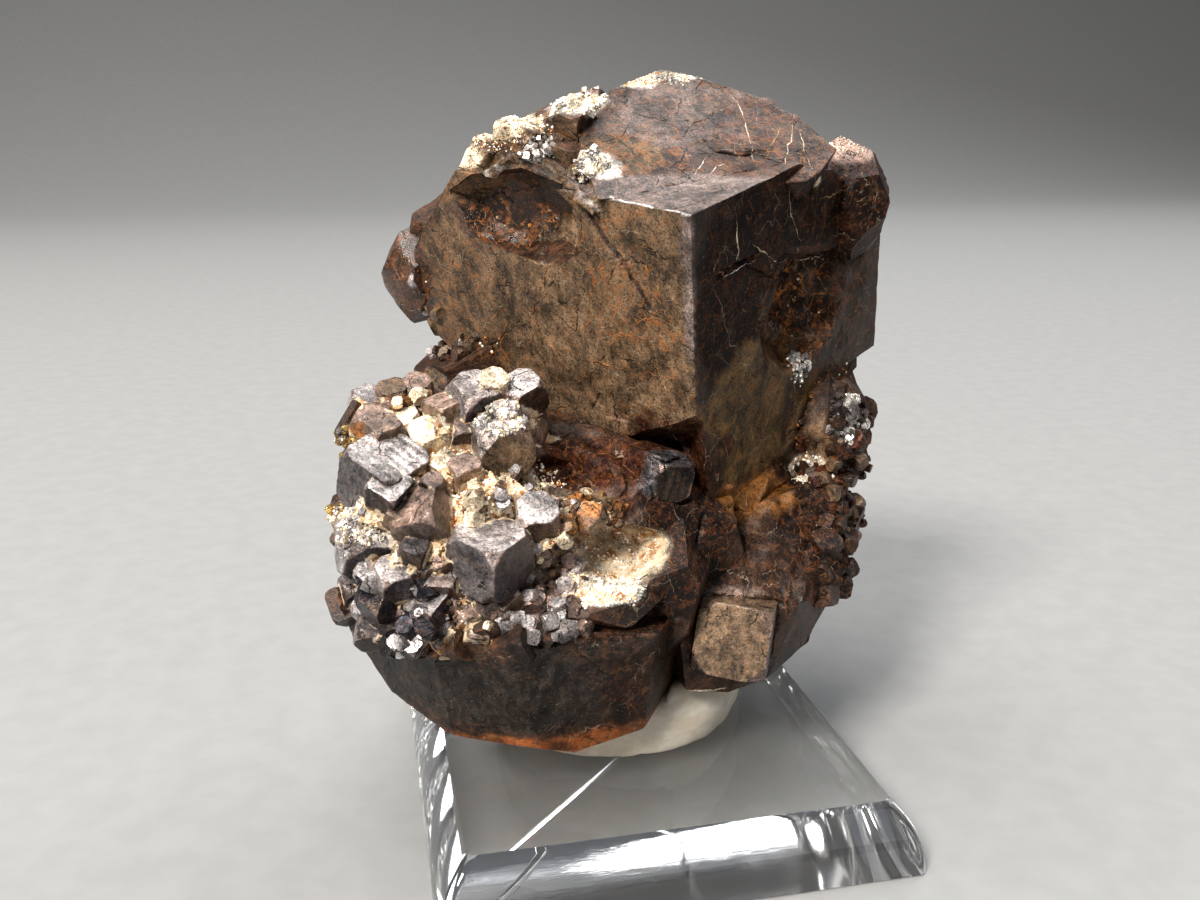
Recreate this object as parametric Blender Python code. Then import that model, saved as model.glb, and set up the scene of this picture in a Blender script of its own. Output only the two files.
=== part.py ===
"""A limonite pseudomorph after pyrite, stuck with putty to a clear display block.

The specimen is one natural piece: intergrown cubes and cuboctahedra that were pyrite and are now
limonite. Each crystal and lump is a convex solid, and one Boolean union grows them together.
The putty and the block are separate pieces.

Lengths are in millimetres until a mesh is made, and angles are in degrees. The specimen and the
putty have a frame of their own: it looks straight at the long upright edge of the main crystal,
X to the right, Y to the back, Z up, its origin under the middle of the block.
"""

import math
import random

import bmesh
import bpy
from mathutils import Matrix, Vector
from mathutils.bvhtree import BVHTree

MM = 0.001
SEED = 11

# Faces of a convex solid that turn by less than this are one face
FLAT_ANGLE = 0.5

# The display block: a square of clear acrylic with bowed sides
BLOCK_SIDE = 32.0
BLOCK_HEIGHT = 4.6
BLOCK_SIDE_BOW = 1.85
BLOCK_CORNER_RADIUS = 0.7
BLOCK_CORNER_STEPS = 4
BLOCK_SIDE_STEPS = 6

# The turn of the specimen and its putty on the block
SPECIMEN_TURN = -12.4

# The putty: a pressed ball, pushed up round the foot of the specimen
GAP = 0.3
PUTTY_CENTRE = (-1.4, 3.6)
PUTTY_RADII = (9.3, 8.9)
PUTTY_TOP = 9.2
PUTTY_RINGS = 8
PUTTY_SECTORS = 32
PUTTY_BULGE = 0.75
PUTTY_WIDEST = 0.25

# Its waves round the side: how many, how deep as a share of the radius, and where they start
PUTTY_WAVES = [(3, 0.03, 0.6), (5, 0.02, 0.0)]

# The main crystal: its front top corner, and how it stands
MAIN_CORNER = (2.9, -7.0, 42.1)
MAIN_STAND = (-41.0, 13.6, -3.8)

# The crown: the lower left corner of its broad face, and how it leans back
CROWN_CORNER = (-2.5, -2.6, 43.1)
CROWN_STAND = (8.3, -50.8, 0.0)

# The main crystal's own frame: X is 0 at the long edge and runs to the left end (negative), Y is
# 0 on the broad left face and goes back, Z is 0 on the ledge. These are its corners.
MAIN_UPPER = [
    (0, 0, 0), (-20.5, 0, 0), (-26.5, 0, -7), (-25.5, 0, -13.5), (-19, 0, -14.2),
    (-14, 0, -19.5), (-12, 0, -19), (-4.8, 0, -16.2), (0, 0, -13.6),
    (0, 12.3, 0), (0, 18, -2.2), (0, 24.5, -8), (0, 24.5, -18), (0, 4.5, -17.5),
    (-8, 19, -1), (-21, 12, -1.5), (-24, 13, -13), (-9, 23, -18), (-13, 3, -20.5),
]
MAIN_LOWER = [
    (0, 0.6, -10), (0, 1.2, -20.5), (0, 4.2, -22.9), (0, 8.8, -24.2), (0, 15.4, -25.2),
    (0, 19.5, -21.5), (0, 22, -10), (-8, 5, -12), (-8, 6, -23), (-8, 18, -24), (-10, 20, -12),
]

# The lip under the main crystal's lower part, that stands a little proud of it
MAIN_LIP = [
    (0, 3.6, -22.0), (0, 9, -21.9), (0, 16, -23.8), (1.1, 4.8, -23.4), (1.1, 15, -25.6),
    (-2, 4, -24), (-2, 15, -26.5),
]

# The crown's own frame: Y is 0 on its broad face, X runs along it and Z up it
CROWN = [
    (-0.2, 0, -0.5), (13.8, 0, 3.4), (14.9, 0, 4.5), (16.4, 0, 7), (14.1, 0, 9.8), (11.3, 0, 11.7),
    (7.1, 0, 12.9), (4.3, 0, 13.3), (0.8, 0, 10.6), (-1.8, 0, 6.8), (-1, 4, 9.5), (3.5, 4, 13.6),
    (10, 4.5, 12), (16.5, 3.5, 8.4), (2, 8, 3), (13.5, 6, 3.4), (13, 10, 9), (3, 12, 11),
]

# The broken shoulder to the left of the crown
SHOULDER = [
    (-12.6, 6.2, 44.2), (-11.9, 6.2, 45.7), (-9.9, 4.4, 45.6), (-6.3, 1.9, 44.4),
    (-2.8, -1.6, 42.8), (-8.9, 6.6, 47.3), (-5.4, 6.6, 49), (-2.6, 6.8, 50), (-1.5, 4, 46),
    (-12, 13.5, 43), (-8, 15, 46), (-1, 15, 48.5), (-10, 8, 38), (0, 8, 38),
]

# The foot: one large crystal at the lower left, that points down and to the front
FOOT = [
    (-20.3, -4.6, 17), (-19.6, -5, 14.2), (-13.3, -11.6, 17.2), (-8.3, -12.4, 16), (1.2, -9.2, 15.8),
    (-16.7, -6.2, 10.1), (-12.4, -8.2, 7.9), (-6.4, -9.9, 7.9), (-4.2, -8.6, 6.9), (0.4, -7.2, 7.9),
    (4, 2, 8.4), (5, 0, 16), (-14.5, 3.5, 8.6), (-6, 8, 7.6), (-2, 4, 6.8), (-18, 6, 16.5),
    (-8, 14, 16.5),
]

# The lower right of the body, steep under the lip
LOWER_RIGHT = [
    (3.5, -1, 20), (7.2, 1.4, 20.4), (13.6, 5.4, 21.6), (16.4, 6.5, 22), (17, 9, 16),
    (15.8, 2.6, 15.4), (11.5, -2.4, 14.8), (5.5, -4.4, 14.6), (3, -5, 13), (12.5, 0.5, 10.4),
    (9.6, -1.6, 8.8), (6.5, -3.6, 8.7), (3.5, -4.4, 9.3), (2, 4, 8), (12, 8, 8.6), (0, 8, 20),
    (14, 14, 12),
]

# A lump starts as a cube this wide round an ellipsoid of unit radii. Its facets are cut between
# these distances from the centre, and each swings this far round, in radians.
LUMP_CUBE = 2.6
LUMP_CUTS = (0.84, 0.98)
LUMP_SWING = 0.2

# Lumps of the body, between the crystals: centre, radii, facets
LUMPS = [
    ((0.0, 13.5, 28.0), (12.0, 8.0, 13.0), 30),
    ((-4.0, 4.5, 18.5), (12.6, 12.4, 9.0), 34),
    ((14.0, 13.4, 24.4), (4.8, 6.6, 6.0), 24),
    ((15.6, 11.0, 41.9), (3.2, 4.2, 4.4), 22),
    ((-16.9, 14.4, 35.8), (2.6, 2.8, 3.8), 20),
    ((-10.9, -2.6, 21.2), (9.2, 7.4, 6.4), 26),
    ((-15.4, 3.2, 25.6), (4.6, 5.4, 3.0), 20),
    ((-9.2, -0.4, 27.0), (3.4, 4.2, 3.6), 20),
    ((0.4, -2.2, 17.2), (5.2, 5.6, 6.0), 22),
    ((-2.6, -7.2, 17.4), (4.0, 3.1, 1.6), 20),
]

# How far a crystal's corner plane can lie from its share, and the shares of the crystals
CORNER_SPREAD = (0.95, 1.07)
SMALL_CORNERS = (0.76, 0.94)
BACK_CORNER = 0.86

# How a small crystal is stretched along its Y and Z, how far it can turn about each axis, and
# how deep it sits, as a share of its half-edge
SMALL_STRETCH_Y = (0.8, 1.15)
SMALL_STRETCH_Z = (0.75, 1.1)
SMALL_TURN = 45.0
CLUSTER_DEPTH = 0.15
DRUSE_DEPTH = 0.2

# A ray that finds a seat for a crystal starts this far from the middle
RAY_START = 60.0

# Crystals whose stand shows: centre, half-edge, stand, corner share
SET_CRYSTALS = [
    ((-9.4, -10.0, 21.4), 1.95, (-34, 14, 4), 0.84),
    ((6.9, -3.6, 13.2), 2.5, (-14, -10, 8), 0.84),
    ((-9.0, -4.6, 27.0), 1.8, (20, 10, 0), 0.74),
    ((-10.8, -2.2, 29.4), 1.6, (35, 20, 10), 0.78),
    ((-7.7, -1.6, 29.8), 1.2, (30, 30, -10), 0.84),
    ((-17.3, -7.6, 21.4), 1.9, (25, 25, 20), 0.78),
    ((-13.5, -8.8, 23.6), 1.6, (-20, 30, -30), 0.84),
    ((-6.6, -8.2, 23.2), 1.3, (15, 30, 10), 0.8),
    ((-16.4, -6.2, 25.4), 2.1, (-30, 24, 14), 0.9),
]

# Smaller crystals of the cluster, each seated on the body behind it: X, Z, half-edge
CLUSTER = [
    (-18.8, 24.2, 1.6), (-16.2, 23.6, 1.4), (-15.6, 19.6, 1.5), (-17.2, 17.4, 1.6),
    (-14.4, 18.0, 1.5), (-12.6, 17.4, 1.5), (-10.8, 17.2, 1.4), (-12.1, 19.9, 1.1),
    (-8.0, 18.4, 1.0), (-6.9, 17.2, 1.1), (-7.8, 16.2, 1.0), (-5.8, 21.7, 1.3),
    (-4.9, 23.3, 0.9), (-3.5, 22.6, 0.9), (-2.5, 24.0, 1.4), (1.2, 24.4, 1.6),
    (-9.6, 24.4, 1.2), (-11.6, 25.4, 1.0), (-13.0, 27.6, 1.2), (-18.6, 27.0, 1.5),
    (-16.4, 28.0, 1.5), (-14.4, 28.6, 1.2), (-18.0, 25.8, 1.1), (-19.8, 20.6, 1.4),
    (-19.2, 16.4, 1.3), (-4.6, 19.0, 1.0), (-13.8, 16.9, 1.3), (-11.9, 16.0, 1.2),
    (-9.6, 16.8, 1.0), (-15.9, 16.2, 1.4), (-6.0, 16.4, 0.8), (-17.8, 15.2, 0.9),
]

# The glittering break above the shoulder: X, Z, half-edge
SHOULDER_CRYSTALS = [
    (-7.2, 46.2, 1.1), (-4.6, 45.6, 1.2), (-3.3, 44.2, 1.0), (-8.8, 46.8, 0.9), (-4.2, 47.6, 1.0),
    (-5.8, 47.2, 0.8), (-10.4, 45.6, 0.8),
]

# Druse: patches of small crystals. Middle, turn of the side that it faces (0 is the front, 90 the
# right), half-width and half-height of the patch, count, least and most half-edge
DRUSE = [
    ((-12.0, -2.0, 21.5), -52, 7.0, 5.5, 34, 0.5, 1.1),
    ((15.0, 9.5, 24.5), 76, 3.0, 3.6, 18, 0.6, 1.2),
    ((12.0, 5.0, 15.5), 80, 5.0, 4.0, 12, 0.6, 1.3),
    ((-15.0, 4.0, 22.0), -95, 8.0, 7.0, 18, 0.7, 1.5),
    ((4.0, 10.0, 16.0), 150, 8.0, 5.0, 16, 0.8, 1.7),
    ((-6.0, 10.0, 30.0), -160, 5.0, 5.0, 12, 0.7, 1.5),
]

# Large crystals of the back: centre, half-edge, stand
BACK_CRYSTALS = [
    ((-7.6, 16.0, 34.8), 5.0, (24, -12, 8)),
    ((6.5, 15.4, 24.0), 5.0, (-28, 14, 12)),
    ((-6.5, 12.5, 18.5), 4.6, (12, 20, -16)),
    ((8.5, 14.5, 38.5), 4.6, (40, -16, 6)),
    ((-14.0, 8.0, 20.5), 3.8, (-14, 10, 24)),
    ((4.0, 11.5, 13.5), 3.6, (30, 26, 10)),
    ((0.5, 15.8, 43.4), 3.4, (8, -20, -10)),
    ((-11.2, 16.0, 37.6), 4.4, (-32, 16, -12)),
    ((13.0, 16.2, 31.0), 4.0, (16, 22, -8)),
    ((-1.5, 19.0, 27.5), 4.2, (34, 8, 20)),
    ((10.5, 12.0, 17.0), 3.8, (-10, 30, 14)),
    ((-11.5, 11.5, 27.0), 4.0, (20, 6, -24)),
]

# Hollows in the main crystal, in its own frame: centre, radii, facets
MAIN_HOLLOWS = [
    ((-14.6, 0.4, -2.4), (6.4, 3.0, 3.4), 26),
    ((0.6, 13.2, -10.4), (2.6, 6.4, 5.0), 26),
]

# Hollows in the body: the vug and the recess above it
HOLLOWS = [
    ((-1.9, -8.2, 20.7), (4.4, 5.2, 2.2), 24),
    ((-4.6, -5.6, 25.4), (3.4, 3.4, 1.8), 20),
]


def stand(turn, lean=0.0, roll=0.0):
    """The rotation that turns about Z, then leans about X, then rolls about Y."""
    return (
        Matrix.Rotation(math.radians(roll), 4, "Y")
        @ Matrix.Rotation(math.radians(lean), 4, "X")
        @ Matrix.Rotation(math.radians(turn), 4, "Z")
    )


def material(name, colour, roughness, transmission=0.0):
    """A Principled material that isn't metallic."""
    made = bpy.data.materials.new(name)
    made.use_nodes = True
    shader = made.node_tree.nodes["Principled BSDF"]
    shader.inputs["Base Color"].default_value = (*colour, 1.0)
    shader.inputs["Roughness"].default_value = roughness
    shader.inputs["Metallic"].default_value = 0.0
    shader.inputs["Transmission Weight"].default_value = transmission
    made.diffuse_color = (*colour, 1.0)
    return made


def add_object(name, bm):
    """Makes an object of a bmesh in millimetres, in metres, and frees the bmesh."""
    bmesh.ops.transform(bm, matrix=Matrix.Scale(MM, 4), verts=bm.verts)
    bmesh.ops.recalc_face_normals(bm, faces=bm.faces)
    mesh = bpy.data.meshes.new(name)
    bm.to_mesh(mesh)
    bm.free()
    made = bpy.data.objects.new(name, mesh)
    bpy.context.scene.collection.objects.link(made)
    return made


def placed(bm, place):
    """Moves a bmesh and hands it back."""
    bmesh.ops.transform(bm, matrix=place, verts=bm.verts)
    return bm


def hull(corners):
    """The convex solid round some corners."""
    bm = bmesh.new()
    for corner in corners:
        bm.verts.new(corner)
    made = bmesh.ops.convex_hull(bm, input=bm.verts)
    spare = made["geom_unused"] + made["geom_interior"]
    inside = {v for v in spare if isinstance(v, bmesh.types.BMVert)}
    bmesh.ops.delete(bm, geom=list(inside), context="VERTS")
    bmesh.ops.dissolve_limit(bm, angle_limit=math.radians(FLAT_ANGLE), verts=bm.verts, edges=bm.edges)
    return bm


def inflated(bm, gap):
    """The convex solid that stands at least a gap outside another one."""
    signs = (-gap, gap)
    offsets = [Vector((x, y, z)) for x in signs for y in signs for z in signs]
    return hull([v.co + offset for v in bm.verts for offset in offsets])


def cut(bm, point, normal):
    """Cuts away what lies beyond a plane, and closes the cut."""
    geometry = bm.verts[:] + bm.edges[:] + bm.faces[:]
    made = bmesh.ops.bisect_plane(bm, geom=geometry, plane_co=point, plane_no=normal, clear_outer=True)
    edges = [e for e in made["geom_cut"] if isinstance(e, bmesh.types.BMEdge)]
    if edges:
        bmesh.ops.edgeloop_fill(bm, edges=edges)


def crystal(half, corner, rng, stretch=(1.0, 1.0, 1.0)):
    """A pyrite crystal: a cube cut back at its corners by the planes of an octahedron.

    corner is the planes' distance from the centre, as a share of the cube's own corner. Each
    plane grew a little nearer or farther than the others.
    """
    bm = bmesh.new()
    bmesh.ops.create_cube(bm, size=2.0 * half)
    signs = (-1.0, 1.0)
    for normal in [Vector((x, y, z)).normalized() for x in signs for y in signs for z in signs]:
        share = corner * rng.uniform(*CORNER_SPREAD)
        if share < 1.0:
            cut(bm, normal * half * math.sqrt(3.0) * share, normal)
    bmesh.ops.transform(bm, matrix=Matrix.Diagonal((*stretch, 1.0)), verts=bm.verts)
    return bm


def lump(radii, facets, rng):
    """A rounded lump: an ellipsoid cut by planes spread evenly round it."""
    bm = bmesh.new()
    bmesh.ops.create_cube(bm, size=LUMP_CUBE)
    golden = math.pi * (3.0 - math.sqrt(5.0))
    for i in range(facets):
        height = 1.0 - 2.0 * (i + 0.5) / facets
        around = golden * i + rng.uniform(-LUMP_SWING, LUMP_SWING)
        flat = math.sqrt(1.0 - height * height)
        normal = Vector((flat * math.cos(around), flat * math.sin(around), height))
        cut(bm, normal * rng.uniform(*LUMP_CUTS), normal)
    bmesh.ops.transform(bm, matrix=Matrix.Diagonal((*radii, 1.0)), verts=bm.verts)
    return bm


def base_pieces(rng):
    """The large solids of the specimen, the main crystal first, as a list of bmeshes."""
    main = Matrix.Translation(MAIN_CORNER) @ stand(*MAIN_STAND)
    crown = Matrix.Translation(CROWN_CORNER) @ stand(*CROWN_STAND)
    pieces = [placed(hull(corners), main) for corners in (MAIN_UPPER, MAIN_LOWER, MAIN_LIP)]
    pieces += [placed(hull(CROWN), crown), hull(SHOULDER), hull(FOOT), hull(LOWER_RIGHT)]
    for centre, radii, facets in LUMPS:
        pieces.append(placed(lump(radii, facets, rng), Matrix.Translation(centre)))
    for centre, half, stands in BACK_CRYSTALS:
        place = Matrix.Translation(centre) @ stand(*stands)
        pieces.append(placed(crystal(half, BACK_CORNER, rng), place))
    return pieces


def seat(trees, start, towards):
    """The nearest point at which a ray meets the large solids, or None."""
    hits = [tree.ray_cast(start, towards) for tree in trees]
    hits = [(distance, point) for point, _, _, distance in hits if point is not None]
    return min(hits)[1] if hits else None


def small_crystal(centre, half, rng):
    """A small crystal that stands as it happened to grow."""
    stretch = (1.0, rng.uniform(*SMALL_STRETCH_Y), rng.uniform(*SMALL_STRETCH_Z))
    turned = stand(*(rng.uniform(-SMALL_TURN, SMALL_TURN) for _ in range(3)))
    made = crystal(half, rng.uniform(*SMALL_CORNERS), rng, stretch)
    return placed(made, Matrix.Translation(centre) @ turned)


def cluster_crystals(trees, rng):
    """The crystals of the cluster and of the shoulder's break, seated from the front."""
    made = []
    for centre, half, stands, corner in SET_CRYSTALS:
        place = Matrix.Translation(centre) @ stand(*stands)
        made.append(placed(crystal(half, corner, rng), place))
    for x, z, half in CLUSTER + SHOULDER_CRYSTALS:
        point = seat(trees, Vector((x, -RAY_START, z)), Vector((0.0, 1.0, 0.0)))
        if point is not None:
            made.append(small_crystal(point + Vector((0.0, CLUSTER_DEPTH * half, 0.0)), half, rng))
    return made


def druse_crystals(trees, rng):
    """Patches of small crystals, seated along rays that run level into each patch."""
    made = []
    for middle, turn, half_width, half_height, count, least, most in DRUSE:
        turned = Matrix.Rotation(math.radians(turn), 3, "Z")
        inwards = turned @ Vector((0.0, 1.0, 0.0))
        across = turned @ Vector((1.0, 0.0, 0.0))
        for _ in range(count):
            radius = math.sqrt(rng.random())
            around = rng.uniform(0.0, 2.0 * math.pi)
            half = rng.uniform(least, most)
            target = Vector(middle) + across * half_width * radius * math.cos(around)
            target.z += half_height * radius * math.sin(around)
            point = seat(trees, target - inwards * RAY_START, inwards)
            if point is not None:
                made.append(small_crystal(point + inwards * DRUSE_DEPTH * half, half, rng))
    return made


def hollow_pieces(rng):
    """The solids that are cut out of the specimen."""
    main = Matrix.Translation(MAIN_CORNER) @ stand(*MAIN_STAND)
    pieces = []
    for centre, radii, facets in MAIN_HOLLOWS:
        pieces.append(placed(lump(radii, facets, rng), main @ Matrix.Translation(centre)))
    for centre, radii, facets in HOLLOWS:
        pieces.append(placed(lump(radii, facets, rng), Matrix.Translation(centre)))
    return pieces


def helpers(name, pieces):
    """Puts helper solids, which don't render, in a collection for a Boolean."""
    group = bpy.data.collections.new(name)
    bpy.context.scene.collection.children.link(group)
    for i, bm in enumerate(pieces):
        helper = add_object(f"{name}_{i}", bm)
        bpy.context.scene.collection.objects.unlink(helper)
        group.objects.link(helper)
        helper.hide_render = True
        helper.display_type = "WIRE"
        helper.rotation_euler.z = math.radians(SPECIMEN_TURN)
    return group


def boolean(target, operation, group):
    """Adds a Boolean with a whole collection."""
    modifier = target.modifiers.new(operation.lower(), "BOOLEAN")
    modifier.operation = operation
    modifier.operand_type = "COLLECTION"
    modifier.collection = group
    modifier.solver = "EXACT"


def outer_shell(bm):
    """The faces of the largest connected shell of a bmesh, without the shells of its cavities."""
    left = set(bm.faces)
    largest = []
    while left:
        waiting = [left.pop()]
        shell = []
        while waiting:
            face = waiting.pop()
            shell.append(face)
            joined = {other for edge in face.edges for other in edge.link_faces} & left
            left -= joined
            waiting.extend(joined)
        if len(shell) > len(largest):
            largest = shell
    return set(largest)


def settle(target):
    """Turns an object's Booleans into its own mesh, and fills the cavities sealed inside it."""
    bm = bmesh.new()
    bm.from_object(target, bpy.context.evaluated_depsgraph_get())
    kept = outer_shell(bm)
    bmesh.ops.delete(bm, geom=[face for face in bm.faces if face not in kept], context="FACES")
    bm.to_mesh(target.data)
    bm.free()
    target.modifiers.clear()


def build_specimen(bases):
    """The specimen: the large solids and all that grew on them, less the hollows."""
    rng = random.Random(SEED)
    trees = [BVHTree.FromBMesh(bm) for bm in bases]
    grown = bases[1:] + cluster_crystals(trees, rng) + druse_crystals(trees, rng)
    specimen = add_object("specimen", bases[0])
    specimen.rotation_euler.z = math.radians(SPECIMEN_TURN)
    specimen.data.materials.append(material("limonite", (0.16, 0.08, 0.04), 0.45))
    boolean(specimen, "UNION", helpers("growth", grown))
    boolean(specimen, "DIFFERENCE", helpers("hollow", hollow_pieces(rng)))
    settle(specimen)


def rounded_square(side, radius, height):
    """Points round a square with round corners, centred on the origin."""
    points = []
    straight = side / 2.0 - radius
    for quarter in range(4):
        corner = Matrix.Rotation(quarter * math.pi / 2.0, 3, "Z") @ Vector((straight, straight, 0.0))
        for step in range(BLOCK_CORNER_STEPS + 1):
            angle = (quarter + step / BLOCK_CORNER_STEPS) * math.pi / 2.0
            points.append(corner + Vector((radius * math.cos(angle), radius * math.sin(angle), height)))
    return points


def loft(rings):
    """A closed solid through rings of equal length, with its first and last ring filled."""
    bm = bmesh.new()
    loops = [[bm.verts.new(point) for point in ring] for ring in rings]
    for low, high in zip(loops, loops[1:]):
        for i in range(len(low)):
            j = (i + 1) % len(low)
            bm.faces.new((low[i], low[j], high[j], high[i]))
    bm.faces.new(reversed(loops[0]))
    bm.faces.new(loops[-1])
    return bm


def build_block():
    """The display block: its sides bow in from the foot to the top along a quarter ellipse."""
    rings = []
    for step in range(BLOCK_SIDE_STEPS + 1):
        angle = step / BLOCK_SIDE_STEPS * math.pi / 2.0
        side = BLOCK_SIDE - 2.0 * BLOCK_SIDE_BOW * (1.0 - math.cos(angle))
        rings.append(rounded_square(side, BLOCK_CORNER_RADIUS, BLOCK_HEIGHT * math.sin(angle)))
    block = add_object("display_block", loft(rings))
    block.data.materials.append(material("clear_acrylic", (0.95, 0.97, 0.97), 0.03, transmission=1.0))


def build_putty(bases):
    """The putty: a pressed ball on the block, shaped by the underside of the specimen."""
    low = BLOCK_HEIGHT + GAP
    rings = []
    for step in range(PUTTY_RINGS):
        share = step / (PUTTY_RINGS - 1)
        bulge = math.sqrt(1.0 - PUTTY_BULGE * (share - PUTTY_WIDEST) ** 2)
        ring = []
        for sector in range(PUTTY_SECTORS):
            around = 2.0 * math.pi * sector / PUTTY_SECTORS
            waves = sum(depth * math.sin(count * around + start) for count, depth, start in PUTTY_WAVES)
            reach = bulge * (1.0 + waves)
            x = PUTTY_CENTRE[0] + PUTTY_RADII[0] * reach * math.cos(around)
            y = PUTTY_CENTRE[1] + PUTTY_RADII[1] * reach * math.sin(around)
            ring.append(Vector((x, y, low + (PUTTY_TOP - low) * share)))
        rings.append(ring)
    putty = add_object("putty", loft(rings))
    putty.rotation_euler.z = math.radians(SPECIMEN_TURN)
    putty.data.materials.append(material("putty", (0.72, 0.68, 0.58), 0.7))
    above = [inflated(bm, GAP) for bm in bases if min(v.co.z for v in bm.verts) < PUTTY_TOP + GAP]
    boolean(putty, "DIFFERENCE", helpers("imprint", above))
    settle(putty)


def main():
    for old in list(bpy.data.objects):
        bpy.data.objects.remove(old)
    bases = base_pieces(random.Random(SEED))
    build_block()
    build_putty(bases)
    build_specimen(bases)


main()
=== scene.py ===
"""The looks of a limonite pseudomorph after pyrite, stuck with putty to a clear display block.

The stone keeps the form of its solid. Its flat faces are cut into fine triangles, its lumps are
rounded and roughened, its crystal faces stay flat, and small crystals, crusts and veins are grown
on it. Lengths are in millimetres until a mesh is made. The stone and its putty have a frame of
their own: it looks straight at the long upright edge of the main crystal, X to the right, Y to
the back, Z up, its origin under the middle of the block.
"""

import logging
import math
from collections.abc import Callable, Sequence
from dataclasses import dataclass, field
from enum import Enum
from functools import partial, reduce

import bmesh
import bpy
import numpy as np
from mathutils import Matrix, Vector


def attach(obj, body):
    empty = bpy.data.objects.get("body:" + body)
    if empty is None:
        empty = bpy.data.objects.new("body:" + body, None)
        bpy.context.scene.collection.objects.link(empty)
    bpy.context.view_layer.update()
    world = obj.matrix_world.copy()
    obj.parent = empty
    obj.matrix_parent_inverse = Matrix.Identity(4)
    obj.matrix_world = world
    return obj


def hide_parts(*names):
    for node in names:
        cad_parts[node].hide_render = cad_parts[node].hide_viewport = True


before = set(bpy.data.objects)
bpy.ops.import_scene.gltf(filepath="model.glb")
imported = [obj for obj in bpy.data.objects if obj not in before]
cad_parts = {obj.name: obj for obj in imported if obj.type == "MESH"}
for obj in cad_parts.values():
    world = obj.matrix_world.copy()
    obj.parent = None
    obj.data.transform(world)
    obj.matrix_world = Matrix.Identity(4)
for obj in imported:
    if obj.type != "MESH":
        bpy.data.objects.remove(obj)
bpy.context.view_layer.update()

log = logging.getLogger("limonite")

MM = 0.001
SPECIMEN_TURN = -12.4

CELL_FACTORS = (374761393, 668265263, 1103515245)
SEED_FACTOR = 974711
MIX_FACTORS = (1274126177, 461845907)
LOW_BITS = 0xFFFFFF
MOST_AT_ONCE = 4000

Array = np.ndarray
Point = tuple[float, float, float]
Colour = tuple[float, float, float]


class Tint(Enum):
    """The colours of the stone and its crusts, as linear red, green and blue."""

    DARK_BROWN = (0.026, 0.013, 0.008)
    UMBER = (0.104, 0.066, 0.038)
    PURPLE = (0.047, 0.026, 0.019)
    LILAC = (0.096, 0.072, 0.064)
    NEAR_BLACK = (0.008, 0.003, 0.002)
    OLIVE = (0.085, 0.050, 0.017)
    GOLD_BROWN = (0.130, 0.052, 0.011)
    RUST = (0.200, 0.055, 0.012)
    RED_BROWN = (0.048, 0.011, 0.005)
    DEEP_RED = (0.022, 0.006, 0.003)
    SATIN_GREY = (0.013, 0.010, 0.008)
    GUNMETAL = (0.110, 0.100, 0.105)
    STEEL = (0.330, 0.300, 0.295)
    BLUE_BLACK = (0.022, 0.023, 0.031)
    PINK_GREY = (0.190, 0.130, 0.105)
    GOLD = (0.400, 0.270, 0.100)
    ORANGE = (0.300, 0.120, 0.036)
    CREAM = (0.740, 0.610, 0.430)
    WHITE = (0.820, 0.780, 0.710)


class Habit(Enum):
    """The forms of the small crystals and grains."""

    CUBE = "cube"
    CUT_CUBE = "cube with its corners cut"
    GRAIN = "round grain"


def eased(values: Array, low: float, high: float) -> Array:
    """Returns values that go smoothly from 0 at low to 1 at high."""
    share = np.clip((values - low) / (high - low), 0.0, 1.0)
    return share * share * (3.0 - 2.0 * share)


def unit(vectors: Array) -> Array:
    """Returns vectors, one to a row, scaled to length 1."""
    lengths = np.linalg.norm(vectors, axis=-1, keepdims=True)
    return vectors / np.maximum(lengths, 1e-12)


def stand(turn: float, lean: float, roll: float) -> Array:
    """Returns the rotation, in degrees, about Z, then about X, then about Y."""
    spin = Matrix.Rotation(math.radians(roll), 3, "Y") @ Matrix.Rotation(math.radians(lean), 3, "X")
    return np.array(spin @ Matrix.Rotation(math.radians(turn), 3, "Z"))


def to_object(points: Array) -> Array:
    """Returns points of the stone's frame in the object's frame."""
    return points @ stand(SPECIMEN_TURN, 0.0, 0.0).T


def to_stone(points: Array) -> Array:
    """Returns points of the object's frame in the stone's frame."""
    return points @ stand(SPECIMEN_TURN, 0.0, 0.0)


def hashed(cells: Array, seed: int) -> Array:
    """Mixes the bits of whole-number cells into even random shares.

    Args:
        cells: whole numbers, three to a row.
        seed: a number that picks one pattern.

    Returns:
        A number from 0 to 1 for each row, always the same for the same cell.
    """
    by_x, by_y, by_z = CELL_FACTORS
    mixed = cells[:, 0] * by_x + cells[:, 1] * by_y + cells[:, 2] * by_z + seed * SEED_FACTOR
    mixed = (mixed ^ (mixed >> 13)) * MIX_FACTORS[0]
    mixed = (mixed ^ (mixed >> 15)) * MIX_FACTORS[1]
    return ((mixed ^ (mixed >> 16)) & LOW_BITS) / float(LOW_BITS)


def noise(points: Array, size: float, seed: int) -> Array:
    """Smooth noise: random heights at the corners of cubes, eased from corner to corner.

    Args:
        points: positions, one to a row.
        size: the edge of the cubes, in millimetres.
        seed: a number that picks one pattern.

    Returns:
        A height from -1 to 1 for each point.
    """
    scaled = points / size
    cell = np.floor(scaled).astype(np.int64)
    share = scaled - cell
    share = share * share * (3.0 - 2.0 * share)
    total = np.zeros(len(points))
    for corner in np.ndindex(2, 2, 2):
        weight = np.prod(np.where(np.array(corner) == 1, share, 1.0 - share), axis=1)
        total += weight * hashed(cell + np.array(corner), seed)
    return 2.0 * total - 1.0


def fractal(points: Array, size: float, seed: int, octaves: int = 4) -> Array:
    """Noise summed at halving sizes and heights.

    Args:
        points: positions, one to a row.
        size: the largest size, in millimetres.
        seed: a number that picks one pattern.
        octaves: how many sizes are summed.

    Returns:
        A height from about -1 to 1 for each point.
    """
    total = np.zeros(len(points))
    for octave in range(octaves):
        total += noise(points + 17.3 * octave, size / 2**octave, seed + octave) / 2**octave
    return total / 1.5


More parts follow.
